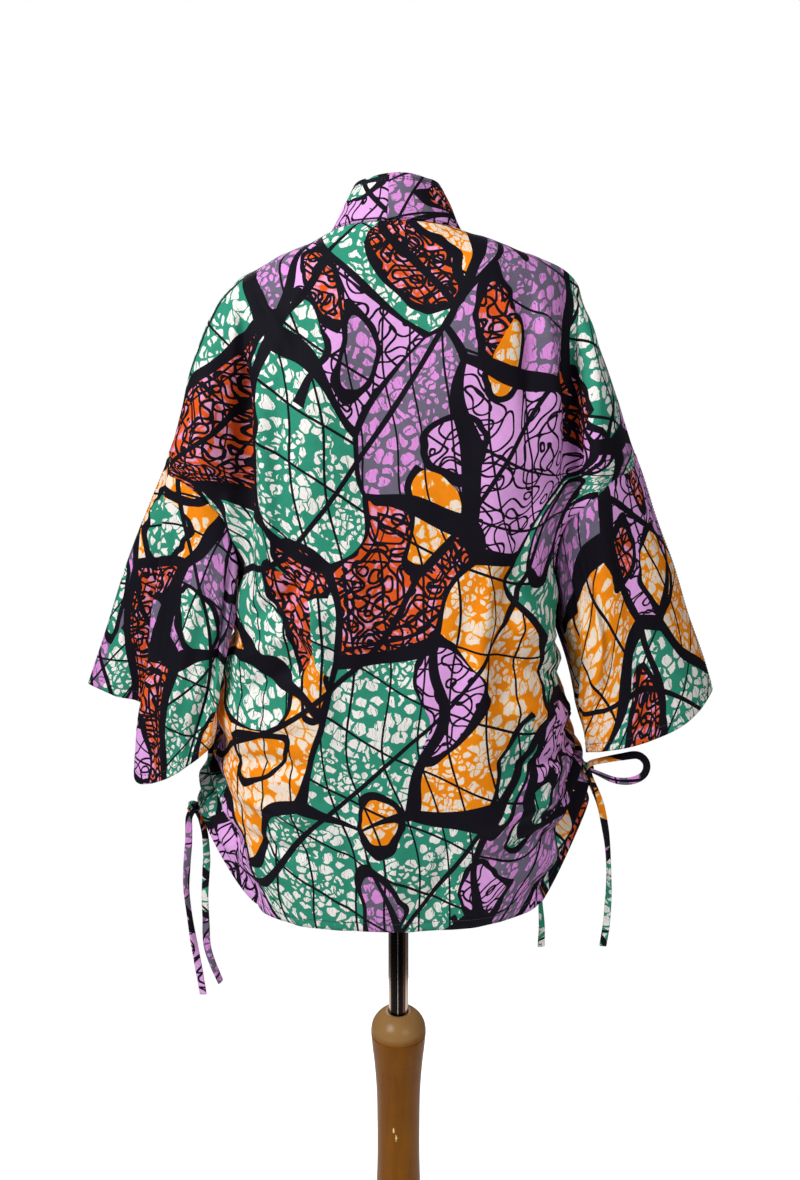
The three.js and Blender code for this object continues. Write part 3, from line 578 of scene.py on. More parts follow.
def collarBand(word, side):
    name = f"collar_{word}"
    seam = bandSeam(side)
    reach = side * seam[0, 0] + lengthAlong(seam)
    turn = [np.interp(np.abs(reach), bandTurns["along"], bandTurns[key]) for key in ("dx", "dy", "dz")]
    turn = np.stack(turn, axis=1)
    turn[:, 0] *= side * np.where(reach < 0, -1, 1)
    for _ in range(bandCut["easing"]):    # evens the turns out between the table's places
        turn[1:-1] = (turn[:-2] + 2 * turn[1:-1] + turn[2:]) / 4
    turn = unit(turn)
    face = unit(np.cross(turn, np.gradient(seam, axis=0)) * side)
    half = cut["band"] / 2
    width = cut["bandWidth"] - half
    rise = np.linspace(0, width, bandCut["across"])
    section = [(a, 0.0) for a in rise]
    section += [(width + half * math.sin(b), -half + half * math.cos(b))
                for b in np.linspace(0, np.pi, bandCut["round"])[1:-1]]
    section += [(a, -2 * half) for a in rise[::-1]]
    section = np.array(section)
    out, back = section[None, :, 0], section[None, :, 1]    # away from the seam, and through the band
    height, size, seed = bandCut["swell"]
    wave = height * softNoise(reach[:, None] * np.ones(len(section)), out, size, seed + side)
    wave *= ease(0, 20, out) * ease(0, 30, reach - reach[0])[:, None]
    dip = edgeGroove(out) - bandCut["topStitch"] * np.exp(-((out - width + 4) / 2) ** 2) * (back > -half)
    depth = back + dip + wave
    grid = seam[:, None] + turn[:, None] * section[None, :, :1] + face[:, None] * depth[..., None]
    around = lengthAlong(section)
    uv = placed(name, side * (reach[:, None] + 0 * around[None, :]), around[None, :] + 0 * reach[:, None])
    shown = bandCut["across"]
    grids[name] = (grid[:, :shown], np.repeat(face[:, None], shown, axis=1))
    faces = closedFaces(*grid.shape[:2], side)
    return meshFrom(name + "_cloth", grid.reshape(-1, 3) * mm, faces, uv.reshape(-1, 2) * mm)


# ---- shader helpers
def tone(code):  # a linear colour from its web code
    parts = [int(code[i:i + 2], 16) / 255 for i in (0, 2, 4)]
    return tuple(p / 12.92 if p <= 0.04045 else ((p + 0.055) / 1.055) ** 2.4 for p in parts) + (1.0,)


class Wire:  # one output of a shader node; an expression of wires adds its Math nodes
    def __init__(self, tree, socket):
        self.tree, self.socket = tree, socket

    def maths(self, operation, first, second=None):
        made = self.tree.nodes.new("ShaderNodeMath")
        made.operation = operation
        for place, value in zip(made.inputs, (first, second)):
            if isinstance(value, Wire):
                self.tree.links.new(value.socket, place)
            elif value is not None:
                place.default_value = value
        return Wire(self.tree, made.outputs[0])

    def __add__(self, other):
        return self.maths("ADD", self, other)

    def __radd__(self, other):
        return self.maths("ADD", other, self)

    def __sub__(self, other):
        return self.maths("SUBTRACT", self, other)

    def __rsub__(self, other):
        return self.maths("SUBTRACT", other, self)

    def __mul__(self, other):
        return self.maths("MULTIPLY", self, other)

    def __rmul__(self, other):
        return self.maths("MULTIPLY", other, self)

    def __gt__(self, other):
        return self.maths("GREATER_THAN", self, other)

    def __lt__(self, other):
        return self.maths("LESS_THAN", self, other)

    def __abs__(self):
        return self.maths("ABSOLUTE", self)

    def __or__(self, other):
        return self.maths("MAXIMUM", self, other)

    def __and__(self, other):
        return self.maths("MINIMUM", self, other)


class Finish:  # one material, with its shader's plain values set by name
    def __init__(self, name, **plain):
        self.material = bpy.data.materials.new(name)
        self.material.use_nodes = True
        self.tree = self.material.node_tree
        self.shader = self.tree.nodes["Principled BSDF"]
        for socket, value in plain.items():
            self.shader.inputs[socket.replace("_", " ")].default_value = value

    def node(self, kind, settings, inputs, output=0):
        made = self.tree.nodes.new("ShaderNode" + kind)
        for key, value in settings.items():
            setattr(made, key, value)
        for key, value in inputs.items():
            self.feed(made.inputs[key], value)
        return Wire(self.tree, made.outputs[output])

    def feed(self, socket, value):
        if isinstance(value, Wire):
            self.tree.links.new(value.socket, socket)
        else:
            socket.default_value = value

    def blend(self, factor, first, second, mode="MIX"):
        settings = {"data_type": "RGBA", "blend_type": mode}
        return self.node("Mix", settings, {0: factor, 6: first, 7: second}, 2)

    def pick(self, factor, first, second):  # between two numbers
        return self.node("Mix", {"data_type": "FLOAT"}, {0: factor, 2: first, 3: second})

    def part(self, kind, whole, output):  # one part of a colour or of a place
        return self.node("Separate" + kind, {}, {"Vector" if kind == "XYZ" else "Color": whole}, output)

    def place(self):
        return self.node("TexCoord", {}, {}, "Object")

    def vector(self, operation, first, second):
        return self.node("VectorMath", {"operation": operation}, {0: first, 1: second})

    def scaled(self, vector, amount):
        return self.node("VectorMath", {"operation": "SCALE"}, {0: vector, "Scale": amount})

    def shifted(self, vector, scale, amount, detail=1.0):  # a place moved by a noise of this scale
        noise = self.vector("SUBTRACT", self.noise(vector, scale, detail, 1), (0.5, 0.5, 0.5))
        return self.vector("ADD", vector, self.scaled(noise, amount))

    def noise(self, vector, scale, detail=2.0, output=0):
        return self.node("TexNoise", {"noise_dimensions": "3D"},
                         {"Vector": vector, "Scale": scale, "Detail": detail}, output)

    def cells(self, vector, scale, feature="F1", output="Distance", randomness=1.0):
        return self.node("TexVoronoi", {"voronoi_dimensions": "2D", "feature": feature},
                         {"Vector": vector, "Scale": scale, "Randomness": randomness}, output)

    def turned(self, vector, angle, scale=(1, 1, 1), move=(0, 0, 0)):
        return self.node("Mapping", {"vector_type": "POINT"}, {
            "Vector": vector, "Rotation": (0, 0, math.radians(angle)), "Scale": scale, "Location": move})

    def bump(self, height, strength, distance):
        bumped = self.node("Bump", {}, {"Height": height, "Strength": strength, "Distance": distance})
        self.feed(self.shader.inputs["Normal"], bumped)

    def show(self, colour, roughness=None):
        self.feed(self.shader.inputs["Base Color"], colour)
        if roughness is not None:
            self.feed(self.shader.inputs["Roughness"], roughness)


# ---- printed cotton: a made-up batik of curved fields, seed pods, wax bubbles, nets and loops
inks = {"navy": "0F0C16", "orange": "F2890C", "cream": "F1E0CE", "halo": "F7B436", "teal": "2E8F74",
        "white": "F3EEEA", "slate": "6B6478", "lilac": "DE8FDA", "plain": "E2A4E4", "rust": "E0561A",
        "pink": "E79CC6"}
motifs = {"fieldScale": 6.4, "fieldTurn": 24.0, "fieldStretch": (1.3, 0.78, 1),
          "podScale": 9.5, "podTurn": -32.0, "podStretch": (1.5, 0.82, 1), "podLoose": 0.85, "podLeast": 0.42,
          "rim": 0.045, "coarseWax": 66.0, "smallWax": 116.0, "halo": 0.05, "crackle": 0.011, "weave": 260.0}
netLines = [(50.0, 0.17, 0.0012, 0.0), (38.0, 0.22, 0.0010, 3.1)]    # scale, step, half width, move
loopLines = [(36.0, 0.19, 0.0008, 5.7), (28.0, 0.26, 0.0008, 8.3)]
netEdges = [(0.085, 0.010), (0.140, 0.007)]    # distance from the field's edge, half width
grounds = ((0.17, "green"), (0.42, "lilac"), (0.60, "orange"), (0.80, "plain"))    # from this draw upward


def printedCotton():
    fin = Finish("printedCotton", Specular_IOR_Level=0.12)
    ink = {key: tone(code) for key, code in inks.items()}
    place = fin.node("UVMap", {"uv_map": "clothMap"}, {})
    bent = fin.shifted(place, 5.0, 0.16)
    curly = fin.shifted(bent, 24.0, 0.022)
    crisp = fin.shifted(place, 80.0, 0.012, 2.0)

    # large fields and the dark bands between them
    field = fin.turned(bent, motifs["fieldTurn"], motifs["fieldStretch"])
    fieldColour = fin.cells(field, motifs["fieldScale"], output="Color")
    fieldEdge = fin.cells(field, motifs["fieldScale"], "DISTANCE_TO_EDGE")
    fieldDraw, fieldOther = (fin.part("Color", fieldColour, k) for k in (0, 1))
    swell = fin.noise(place, 7.0, 1.0)
    band = fieldEdge < swell * 0.15 - 0.032

    # seed pods that lie on the fields
    pod = fin.turned(curly, motifs["podTurn"], motifs["podStretch"], (0.3, 0.1, 0))
    podColour = fin.cells(pod, motifs["podScale"], output="Color", randomness=motifs["podLoose"])
    podDraw, podSize = (fin.part("Color", podColour, k) for k in (0, 1))
    podDepth = podSize * 0.30 + 0.16 - fin.cells(pod, motifs["podScale"], randomness=motifs["podLoose"])
    podDepth = podDepth - (podSize < motifs["podLeast"]) * 2.0    # the smallest are left out
    rim = abs(podDepth) < motifs["rim"]
    draw = fin.pick(podDepth > 0.0, fieldDraw, podDraw)

    # wax bubbles in two sizes
    def bubbles(scale, spread):
        gap = fin.cells(crisp, scale, "DISTANCE_TO_EDGE")
        away = fin.cells(crisp, scale)
        return (gap - spread) & (0.56 - spread - away)

    spread = fin.noise(place, 26.0, 1.5) * 0.5 - 0.14
    coarse = bubbles(motifs["coarseWax"], spread)
    small = bubbles(motifs["smallWax"], spread + 0.03)
    wax = fin.pick(fin.noise(place, 15.0, 1.0) > 0.56, coarse, small)
    crackle = abs(fin.noise(fin.turned(crisp, 4.0, (240, 22, 1)), 1.0, 1.0) - 0.5) < motifs["crackle"]
    wax = wax - crackle * 0.5
    bubble, ring = wax > 0.0, wax > -motifs["halo"]

    # curling lines of even width: the contours of a smooth field, a step apart
    def curls(scale, step, halfWidth, move):
        def level(x, y):
            return fin.noise(fin.turned(place, 0.0, move=(move + x, y, 0)), scale, 0.0)

        here, reach = level(0, 0), 0.0008
        slope = abs(level(reach, 0) - here) + abs(level(0, reach) - here)
        away = fin.node("Math", {"operation": "PINGPONG"}, {0: here, 1: step / 2})
        return away < slope * (halfWidth / reach) + 0.002

    # net: thick curls over a rust ground with pink wax, and lines that follow the edge of its field
    tangle = curls(*netLines[0]) | curls(*netLines[1])
    for distance, halfWidth in netEdges:
        tangle = tangle | (abs(fieldEdge - distance) < halfWidth)
    blush = fin.blend((wax + 0.04) * 6.0, ink["rust"], ink["pink"])

    # loops drawn on a plain ground
    loops = curls(*loopLines[0]) | curls(*loopLines[1])

    fills = {"orange": fin.blend(bubble, fin.blend(ring, ink["orange"], ink["halo"]), ink["cream"]),
             "green": fin.blend(bubble, ink["teal"], ink["white"]),
             "lilac": fin.blend(bubble, ink["slate"], ink["lilac"]),
             "plain": fin.blend(loops, ink["plain"], ink["navy"])}
    colour = fin.blend(tangle, blush, ink["navy"])
    for limit, fill in grounds:
        colour = fin.blend(draw > limit, colour, fills[fill])

    # fine branching lines over everything
    def twigs(angle, pitch, width, bend):
        lane = fin.turned(fin.shifted(place, bend, 0.10), angle)
        run = fin.part("XYZ", lane, 0)
        gap = fin.node("TexVoronoi", {"voronoi_dimensions": "1D", "feature": "DISTANCE_TO_EDGE"},
                       {"W": run, "Scale": pitch}, "Distance")
        return gap < width

    lines = twigs(8.0, 26.0, 0.030, 4.0) & (fieldOther > 0.25)
    lines = lines | (twigs(62.0, 15.0, 0.020, 3.2) & (fieldOther < 0.8))
    lines = lines | twigs(-38.0, 9.0, 0.026, 3.6)
    colour = fin.blend(band | rim | lines, colour, ink["navy"])
    worn = fin.noise(place, 160.0, 3.0) * 0.22 + 0.89
    colour = fin.blend(1.0, colour, fin.node("CombineColor", {}, {0: worn, 1: worn, 2: worn}), "MULTIPLY")
    fin.show(colour, 0.70 + fin.noise(place, 300.0, 2.0) * 0.12)

    # plain weave
    def threads(angle):
        wave = fin.node("TexWave", {"wave_type": "BANDS", "bands_direction": "X"}, {
            "Vector": fin.turned(place, angle), "Scale": motifs["weave"], "Distortion": 0.6, "Detail": 1.0})
        return fin.node("RGBToBW", {}, {0: wave})

    fin.bump(threads(0.0) + threads(90.0) + fin.noise(place, 420.0, 2.0), 0.35, 0.00025)
    return fin.material


def threadFinish():
    fin = Finish("sewingThread", Roughness=0.6)
    place = fin.place()
    twist = fin.noise(place, 900.0, 1.0)
    fin.show(fin.blend(twist, tone("15131F"), tone("3A3350")))
    fin.bump(twist, 0.4, 0.0002)
    return fin.material


def linenCover():
    fin = Finish("linenCover", Roughness=0.9)
    place = fin.place()
    slub = fin.noise(fin.turned(place, 0.0, (900, 900, 60)), 1.0, 3.0)
    cross = fin.noise(fin.turned(place, 0.0, (60, 60, 900)), 1.0, 3.0)
    cloud = fin.noise(place, 6.0, 3.0)
    base = fin.blend(cloud, tone("CFC4AF"), tone("E4DBCA"))
    fin.show(fin.blend((slub + cross) * 0.5, base, tone("BDB098")))
    fin.bump(slub + cross, 0.5, 0.0004)
    return fin.material


poleReflections = [(1.12, 0.30, "B89E8C"), (-0.55, 0.10, "5A4136"), (0.06, 0.026, "C8C4BA")]    # painted reflections down the tube: angle, width, colour


def chromeFinish():
    fin = Finish("darkChrome", Metallic=1.0)
    place = fin.place()
    x, y = (fin.part("XYZ", place, axis) for axis in "XY")
    turn = fin.node("Math", {"operation": "ARCTAN2"}, {0: x, 1: y})
    rub = fin.noise(fin.turned(place, 0.0, (160, 160, 7)), 1.0, 3.0)
    colour = fin.blend(rub, tone("0B090A"), tone("241D1B"))
    for at, width, code in poleReflections:    # painted reflection lines down the tube, met again every third of a turn
        away = fin.node("Math", {"operation": "PINGPONG"}, {0: turn - at, 1: math.pi / 3})
        colour = fin.blend((width - away) * (1.6 / width), colour, tone(code))
    fin.show(colour, rub * 0.12 + 0.08)
    fin.bump(rub, 0.05, 0.0002)
    return fin.material


# small places where the pale wood shows: x, y, z, width, height
nicks = [(0.0063, 0.0268, 0.3060, 0.0011, 0.0040), (0.0030, 0.0272, 0.2950, 0.0010, 0.0052)]
nickDepth = 0.012
woods = {"wood": {"name": "honeyWood", "tones": ("865200", "663700"), "nicks": nicks, "crown": 0.433},
         "darkWood": {"name": "baseWood", "tones": ("7E4E0C", "5E3402"), "nicks": (), "crown": 2.0}}


def turnedWood(wood):
    fin = Finish(wood["name"], Coat_Roughness=0.25, Specular_IOR_Level=0.06)
    light, dark = (tone(code) for code in wood["tones"])
    place = fin.place()
    warped = fin.shifted(place, 6.0, 0.02)
    grain = fin.noise(fin.turned(warped, 0.0, (120, 120, 5)), 1.0, 4.0)
    pores = fin.noise(fin.turned(place, 0.0, (700, 700, 22)), 1.0, 2.0)
    lathed = fin.noise(fin.turned(place, 0.0, (5, 5, 380)), 1.0, 2.0)
    cloud = fin.noise(place, 9.0, 3.0)
    base = fin.blend(cloud, light, dark)
    base = fin.blend((grain > 0.5) * 0.28, base, dark)
    base = fin.blend((lathed > 0.56) * 0.14, base, light)
    base = fin.blend((pores > 0.66) * 0.30, base, tone("3F2008"))
    pale = (fin.part("XYZ", warped, "Z") - wood["crown"]) * 90.0 & 0.8 | 0.0    # the crown is painted paler: painted light from above, with some wear
    base = fin.blend(pale, base, tone("9A7648"))
    ragged = fin.shifted(place, 420.0, 0.004)
    for x, y, z, wide, tall in wood["nicks"]:
        here = fin.turned(ragged, 0.0, (1 / wide, 1 / nickDepth, 1 / tall))
        gap = fin.node("VectorMath", {"operation": "DISTANCE"},
                       {0: here, 1: (x / wide, y / nickDepth, z / tall)}, "Value")
        base = fin.blend((gap < 1.0) * 0.85, base, tone("EAD3A0"))
    fin.show(base, pores * 0.2 + 0.34)
    fin.feed(fin.shader.inputs["Coat Weight"], cloud * 0.06 + pale * 0.25 + 0.02)
    fin.bump(grain + pores + lathed, 0.12, 0.0004)
    return fin.material


finishes = {"printed": printedCotton(), "thread": threadFinish(), "linen": linenCover(),
            "chrome": chromeFinish()}
for key, wood in woods.items():
    finishes[key] = turnedWood(wood)
say("finishes made")


def dress(piece, finish, slot, *nodes):
    piece.data.materials.clear()
    piece.data.materials.append(finishes[finish])
    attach(piece, "root")
    if nodes:
        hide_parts(*nodes)
    return piece


# ---- the cord ends, as flat ties of the jacket's own cloth
cordSize = {"width": 9.4, "thick": 3.3, "step": 2.0}
cordPaths = {
    "cord_left_back": [
        (248.5, 11, 738), (252.5, 14.4, 730.4), (253.8, 15.2, 724), (254, 16, 712), (255, 16, 695),
        (258, 15, 670), (260, 15, 645), (260, 15, 625), (256, 15, 580), (250, 15, 533), (245, 15, 492)],
    "cord_left_front": [
        (247, 6.5, 738), (244.2, 5.2, 729.6), (241, 4, 720), (237, 4.5, 700), (236, 5, 673), (238, 5, 646),
        (240, 5, 619), (240, 5, 588), (240, 5, 556), (235, 6, 533), (224, 8, 504)],
    "cord_right_hang": [
        (-226.6, 16.2, 790), (-227.8, 18.4, 783.6), (-230.5, 21.4, 776), (-236, 23, 764), (-244, 22, 742),
        (-253, 20, 697), (-257, 20, 649), (-257, 20, 613), (-256, 20, 588), (-253, 20, 561)],
    "cord_right_loop": [
        (-225.6, 18, 794.5), (-229.4, 23.2, 800.4), (-239, 28.5, 805.4), (-262, 34, 812), (-280, 36, 815),
        (-290, 36, 808), (-292, 36, 798), (-287, 35, 788), (-273, 34, 782), (-256, 31, 782),
        (-237.6, 23.6, 787.6), (-227.6, 18, 790.4)],
    "cord_right_inner": [
        (-169.4, 80.8, 712.6), (-168, 73, 702), (-167, 62, 690), (-167, 56, 675), (-168, 52, 655),
        (-170, 50, 630), (-172, 50, 605), (-172, 50, 578)],
}
cordStyle = {  # angle of the flat side, how far it swings, and place on the print
    "cord_left_back": (25, 50, 2300, 120), "cord_left_front": (40, -45, 2500, 420),
    "cord_right_hang": (-20, -45, 2700, 250), "cord_right_loop": (40, -35, 2900, 530),
    "cord_right_inner": (40, 30, 3100, 90),
}
knots = {"knot_left": ((248, 8, 738), (8, 9, 8)), "knot_right": ((-226.4, 14.6, 791.5), (7, 8, 7))}
knotStyle = {"width": 7.0, "thick": 3.0, "steps": 36, "print": (2300, 60),
             "wraps": ((12, 0), (64, 38), (-48, 78))}    # tilt and swing of each wrap


def ribbonSection():  # a flat tie with round edges, by angle
    c, s = np.cos(circle(12)), np.sin(circle(12))
    return np.stack([np.sign(c) * np.abs(c) ** 0.6, np.sign(s) * np.abs(s) ** 0.5], axis=1) / 2


def ribbon(path, angles, width, thick, closed=False):
    tangent = np.gradient(path, axis=0)
    if closed:
        tangent = np.roll(path, -1, axis=0) - np.roll(path, 1, axis=0)
    tangent = unit(tangent)
    side = unit(np.cross(tangent, (0.12, 0.98, 0.16)))
    up = np.cross(side, tangent)
    flat = side * np.cos(angles)[:, None] + up * np.sin(angles)[:, None]
    over = np.cross(flat, tangent)
    section = ribbonSection()
    return (path[:, None] + flat[:, None] * section[None, :, :1] * width
            + over[:, None] * section[None, :, 1:] * thick)


def cordPiece(name):
    points = np.array(cordPaths[name], float)
    path = smoothPath(points, int(lengthAlong(points)[-1] / cordSize["step"]))
    middle, swing, across, down = cordStyle[name]
    share = np.linspace(0, 1, len(path))
    angles = np.radians(middle - swing * np.cos(share * 5.2 + 0.3))
    width = cordSize["width"] * (1 - 0.07 * np.abs(np.sin(share * 9)))
    rings = ribbon(path, angles, width[:, None, None], cordSize["thick"])
    faces = closedFaces(*rings.shape[:2], -1)
    length = lengthAlong(path)[-1]
    around = np.abs(np.linspace(-1, 1, rings.shape[1]))
    uv = np.stack([across + around[None, :] * cordSize["width"] + 0 * share[:, None],
                   down + length * share[:, None] + 0 * around[None, :]], axis=-1)
    piece = meshFrom(name + "_tie", rings.reshape(-1, 3) * mm, faces, uv.reshape(-1, 2) * mm)
    dress(piece, "printed", "cord_cloth", name)
    loop = name == "cord_right_loop"
    say(f"{name} {length:.0f} mm")


def knotPiece(name):  # three wraps of the tie drawn tight over each other
    centre, size = (np.array(v, float) for v in knots[name])
    vertices, faces, uvs = [], [], []
    across, down = knotStyle["print"]
    for k, (tilt, swing) in enumerate(knotStyle["wraps"]):
        angle = circle(knotStyle["steps"])
        ring = np.stack([np.cos(angle), np.sin(angle), 0.12 * np.sin(2 * angle + k)], axis=1)
        ring *= 0.78 + 0.05 * k    # each wrap lies over the one before
        spin = np.array(Euler((math.radians(tilt), 0, math.radians(swing))).to_matrix())
        path = centre + (ring @ spin.T) * (size - 1.0)
        angles = np.full(len(path), 1.35 + 0.3 * k)
        rings = ribbon(path, angles, knotStyle["width"], knotStyle["thick"], closed=True)
        rows, columns = rings.shape[:2]
        j, i = np.meshgrid(np.arange(rows), np.arange(columns), indexing="ij")
        corner = [j * columns + i, j * columns + (i + 1) % columns,
                  (j + 1) % rows * columns + (i + 1) % columns, (j + 1) % rows * columns + i]
        faces.append(np.stack(corner, axis=-1).reshape(-1, 4)[:, ::-1] + sum(len(v) for v in vertices))
        vertices.append(rings.reshape(-1, 3))
        uvs.append(np.stack([across + 40 * k + i * 0.7, down + j * 1.2], axis=-1).reshape(-1, 2))
    vertices, faces, uvs = (np.concatenate(part) for part in (vertices, faces, uvs))
    piece = meshFrom(name + "_wrap", vertices * mm, faces, uvs * mm)
    dress(piece, "printed", "cord_cloth", name)


for name in cordPaths:
    cordPiece(name)
for name in knots:
    knotPiece(name)
say("ties and knots made")

# ---- the jacket's pieces.
made = {"back_panel": backPanel()}
for word, side in (("left", 1), ("right", -1)):
    made[f"front_{word}"] = frontPanel(word, side)
    made[f"sleeve_{word}"] = sleeve(word, side)
    made[f"collar_{word}"] = collarBand(word, side)
for name, piece in made.items():
    dress(piece, "printed", "printed_cotton", name)
for name in grids:
    grid = grids[name][0]
    sides = np.cross(np.diff(grid[:-1], axis=1), np.diff(grid[:, :-1], axis=0))
    size = np.linalg.norm(sides, axis=2).sum() * mm * mm
    wide, tall = runs(grid, 1)[:, -1].max(), runs(grid, 0)[-1].max()
    say(f"{name} {size:.3f} square metres, {wide:.0f} by {tall:.0f} mm")
say("cloth pieces made")

# ---- stitching
stitch = {"pitch": 3.6, "length": 2.7, "radius": 0.42, "sides": 6, "above": 0.16, "fromHem": 11.0,
          "besideTopSeam": 2.2, "bandLines": (10.2, 9.65, 0.55)}
stitchShape = ((0.0, 0.35, 0.35), (0.18, 0.9, 0.0), (0.82, 0.9, 0.0), (1.0, 0.35, 0.35))    # share, size, sunk


def lineOn(name, rowAt, columnAt):  # points and normals of a line on a finished surface, by row and column
    grid, normal = grids[name]
    rows, columns = grid.shape[:2]
    r = np.clip(np.asarray(rowAt, float), 0, rows - 1.001)
    c = np.clip(np.asarray(columnAt, float), 0, columns - 1.001)
    r, c = np.broadcast_arrays(r, c)
    j, i = np.floor(r).astype(int), np.floor(c).astype(int)
    f, g = (r - j)[:, None], (c - i)[:, None]

    def read(field):
        return mix(mix(field[j, i], field[j, i + 1], g), mix(field[j + 1, i], field[j + 1, i + 1], g), f)

    return read(grid), read(normal)


def stitchLine(line):  # capsules of thread along a line
    points, normals = line
    run = lengthAlong(points)
    starts = np.arange(stitch["pitch"] / 2, run[-1] - stitch["length"], stitch["pitch"])
    rings, angles = [], circle(stitch["sides"])
    c, s = np.cos(angles)[None, :, None], np.sin(angles)[None, :, None]
    for share, size, sunk in stitchShape:
        at = starts + share * stitch["length"]
        p, ahead = readAlong(points, run, at), readAlong(points, run, at + 0.5)
        n = unit(readAlong(normals, run, at))
        across = np.cross(unit(ahead - p + 1e-6), n)
        p = p + n * (stitch["above"] - sunk * stitch["radius"])
        rings.append(p[:, None] + (across[:, None] * c + n[:, None] * s) * stitch["radius"] * size)
    block = np.stack(rings, axis=1)    # stitch, ring, side
    corners = len(stitchShape) * stitch["sides"]
    template = closedFaces(len(stitchShape), stitch["sides"], -1)
    faces = [[v + k * corners for v in face] for k in range(len(starts)) for face in template]
    return block.reshape(-1, 3), faces


def stitching(name, lines):
    vertices, faces, total = [], [], 0
    for line in lines:
        points, own = stitchLine(line)
        faces += [[v + total for v in face] for face in own]
        vertices.append(points)
        total += len(points)
    dress(meshFrom(name, np.concatenate(vertices) * mm, faces), "thread", "printed_cotton")


def hemLine(name):  # an even distance above the hem
    run = runs(grids[name][0], 0)
    left = run[-1:] - run
    rows, columns = np.arange(run.shape[0]), np.arange(run.shape[1])
    above = [np.interp(stitch["fromHem"], left[::-1, i], rows[::-1]) for i in columns]
    return lineOn(name, np.array(above), columns)


for word in ("left", "right"):
    name = f"sleeve_{word}"
    rows, top = np.arange(2, sleeveCut["rows"] - 2), sleeveCut["columns"] // 2
    stitching(f"stitches_sleeve_{word}", [hemLine(name), lineOn(name, rows, top + stitch["besideTopSeam"])])
    stitching(f"stitches_front_{word}", [hemLine(f"front_{word}")])
    name = f"collar_{word}"
    rows = np.arange(1, grids[name][0].shape[0] - 1)
    stitching(f"stitches_collar_{word}", [lineOn(name, rows, column) for column in stitch["bandLines"]])
stitching("stitches_back", [hemLine("back_panel")])
say("stitching made")

# ---- dress form and stand
formRows = tableOf("z half back front", [
    [704, 128, 84, 82], [712, 144, 94, 92], [770, 164, 106, 102], [840, 168, 108, 100], [930, 150, 96, 88],
    [1010, 138, 86, 84], [1090, 148, 92, 98], [1180, 162, 100, 106], [1260, 170, 98, 96], [1312, 180, 84, 72],
    [1340, 174, 70, 56], [1364, 142, 58, 42], [1380.7, 108, 50, 36], [1392, 71, 46, 31], [1401, 46, 43, 30],
    [1420, 38, 42, 30]])
stand = {"poleRadius": 12.5, "poleFoot": 389.3, "poleTop": 727.7, "socket": 12.8}
cover = {"rings": 120, "sides": 120, "squareness": 0.86, "seamDepth": 0.9, "seamWidth": 0.008,
         "seams": (0.5, 0.285, 0.715, -0.5, -0.285, -0.715, 0.0, 1.0)}    # in half turns


def formBody():
    rows, angle = np.linspace(0, len(formRows["z"]) - 1, cover["rings"]), circle(cover["sides"])
    c, s = np.cos(angle)[None, :], np.sin(angle)[None, :]
    get = {key: along(formRows[key], rows)[:, None] for key in formRows}
    depth = np.where(s > 0, get["back"], get["front"])
    share = np.mod(angle / np.pi + 1, 2) - 1
    groove = sum(np.exp(-((share - seam) / cover["seamWidth"]) ** 2) for seam in cover["seams"])[None, :]
    groove = groove * cover["seamDepth"] * ease(2, 6, rows)[:, None]
    x = get["half"] * np.sign(c) * np.abs(c) ** cover["squareness"] - groove * c
    y = depth * np.sign(s) * np.abs(s) ** cover["squareness"] - groove * s
    x[0], y[0] = x[0] * 0.985, y[0] * 0.985
    grid = np.stack([x, y, get["z"] + 0 * c], axis=-1)
    top = grid[-1]
    middle = top.mean(axis=0)
    cap = [middle + (top - middle) * f + np.array([0, 0, 2.5 * (1 - f)]) for f in (0.97, 0.8, 0.5, 0.2)]
    grid = np.concatenate([grid, np.stack(cap)])
    return meshFrom("form_body", grid.reshape(-1, 3) * mm, closedFaces(*grid.shape[:2], 1))


def lathe(name, profile, sides=128):  # profile from the axis and back to it, as radius and height
    profile = np.array(profile, float)
    inner, angle = profile[1:-1], circle(sides)
    radius, height = inner[:, :1], inner[:, 1:]
    rings = np.stack([radius * np.cos(angle), radius * np.sin(angle), height + 0 * angle], axis=-1)
    faces = gridFaces(len(inner), sides, 1, wrap=True).tolist()
    ends = np.array([[0, 0, profile[0, 1]], [0, 0, profile[-1, 1]]])
    low, high, last = len(inner) * sides, len(inner) * sides + 1, (len(inner) - 1) * sides
    faces += [[low, (i + 1) % sides, i] for i in range(sides)]
    faces += [[high, last + i, last + (i + 1) % sides] for i in range(sides)]
    return meshFrom(name, np.concatenate([rings.reshape(-1, 3), ends]) * mm, faces)


def postProfile():
    heights = [(34, 40), (31, 56), (29.2, 80), (29, 140), (28.7, 205), (27.6, 250), (27.5, 300), (28.2, 345),
               (30.6, 383), (33.2, 408), (34.9, 427)]
    curve = smoothPath([(r, 0, z) for r, z in heights], 70)[:, (0, 2)].tolist()
    foot = [(0, 26.3), (33, 26.3), (34, 27.3), (34, 38)]
    rim = [(35.0, 429.4), (34.6, 430.0), (34.6, 431.0), (35.0, 431.6)]
    dome = smoothPath([(35, 0, 433), (33.6, 0, 440.4), (30, 0, 447.4), (23.6, 0, 454.2), (17, 0, 458.4)], 40)
    socket = stand["socket"]
    mouth = [(15.4, 459), (socket + 0.4, 458.6), (socket, 457.4), (socket, 389), (0, 389)]
    return foot + curve + rim + dome[:, (0, 2)].tolist() + mouth


def baseProfile():
    edge = [(mix(172, 163, 1 - math.cos(t)), mix(17, 26, math.sin(t))) for t in np.linspace(0, np.pi / 2, 9)]
    return [(0, 0), (169.6, 0), (171.2, 0.6), (172, 2.2)] + edge + [(120, 26), (60, 26), (0, 26)]


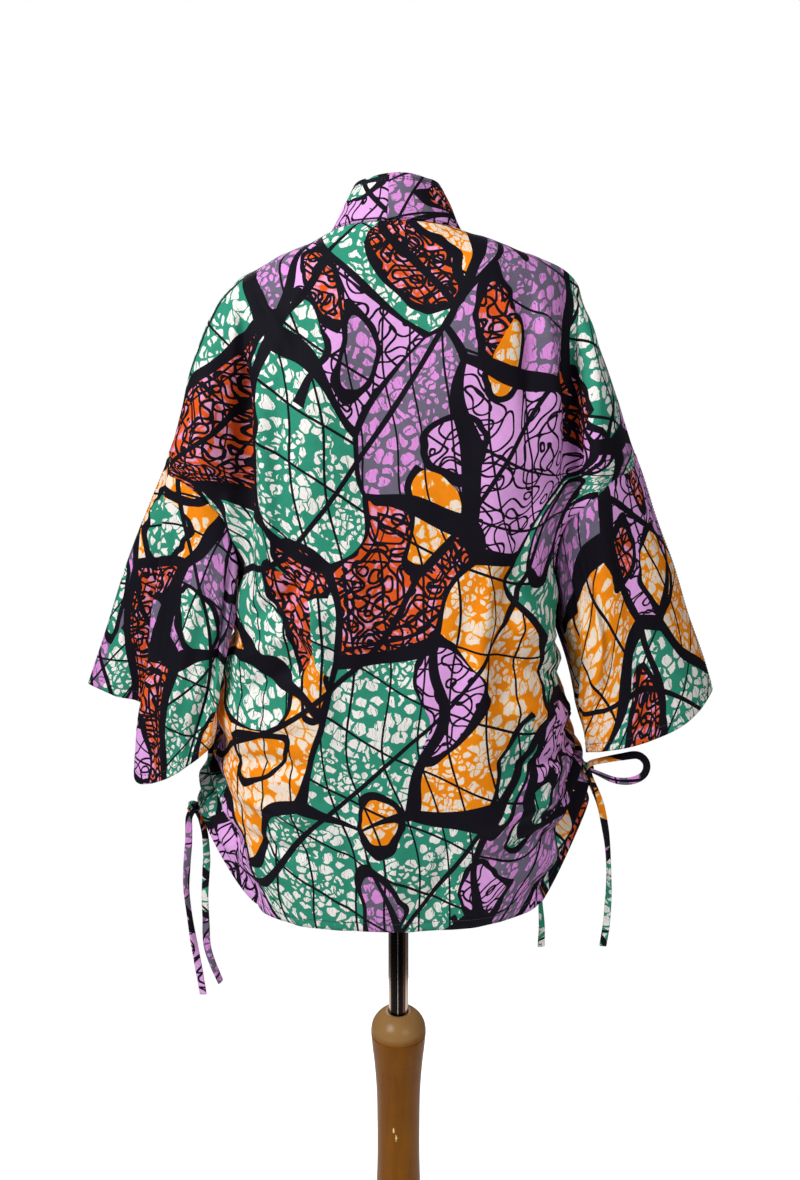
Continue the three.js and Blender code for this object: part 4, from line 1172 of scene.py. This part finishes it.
dress(formBody(), "linen", "form_cover", "form_torso")
pole = lathe("pole_tube", [(0, stand["poleFoot"]), (stand["poleRadius"], stand["poleFoot"]),
                           (stand["poleRadius"], stand["poleTop"]), (0, stand["poleTop"])], 96)
post, base = lathe("post_turned", postProfile()), lathe("base_disc", baseProfile(), 160)
dress(pole, "chrome", "pole_chrome", "pole")
dress(post, "wood", "stand_wood", "post")
dress(base, "darkWood", "stand_wood", "base")
for piece in (pole, post, base):
    edges = piece.modifiers.new("edges", "EDGE_SPLIT")
    edges.split_angle = math.radians(50)
say("form and stand made")


# ---- floor and light
room = {"floorRadius": 0.8, "backdrop": 1.0, "light": 0.15, "floorGlow": 0.5, "lights": [
    ("keyLight", (1.6, 1.5, 2.6), (0.0, 0.0, 1.15), 1.3, 70.0),
    ("fillLight", (-1.6, 2.4, 2.3), (0.0, 0.0, 1.2), 1.6, 30.0),
    ("frontLight", (0.4, -2.4, 2.2), (0.0, 0.0, 1.0), 1.8, 40.0)]}


def floorFinish():
    fin = Finish("paleFloor", Roughness=0.9, Emission_Color=(1, 1, 1, 1), Emission_Strength=room["floorGlow"])
    place = fin.place()
    fin.show(fin.blend(fin.noise(place, 2.0), tone("F6F6F6"), tone("FCFCFC")))
    return fin.material


def buildRoom():
    angle = circle(96)
    rim = np.stack([np.cos(angle), np.sin(angle), 0 * angle], axis=1) * room["floorRadius"]
    floor = meshFrom("floor", rim, [list(range(len(rim)))])
    floor.data.materials.append(floorFinish())
    world = bpy.data.worlds.new("softWhite")
    world.use_nodes = True
    tree = world.node_tree
    seen = Wire(tree, tree.nodes.new("ShaderNodeLightPath").outputs["Is Camera Ray"])
    strength = seen * (room["backdrop"] - room["light"]) + room["light"]    # a bright backdrop, a softer fill
    tree.nodes["Background"].inputs["Color"].default_value = (1, 1, 1, 1)
    tree.links.new(strength.socket, tree.nodes["Background"].inputs["Strength"])
    bpy.context.scene.world = world
    for name, place, aim, size, power in room["lights"]:
        data = bpy.data.lights.new(name, "AREA")
        data.shape, data.size, data.energy = "DISK", size, power
        lamp = bpy.data.objects.new(name, data)
        lamp.location = place
        lamp.rotation_euler = (Vector(aim) - Vector(place)).to_track_quat("-Z", "Y").to_euler()
        bpy.context.scene.collection.objects.link(lamp)
    bpy.context.scene.view_settings.view_transform = "Standard"


buildRoom()
say("room made")
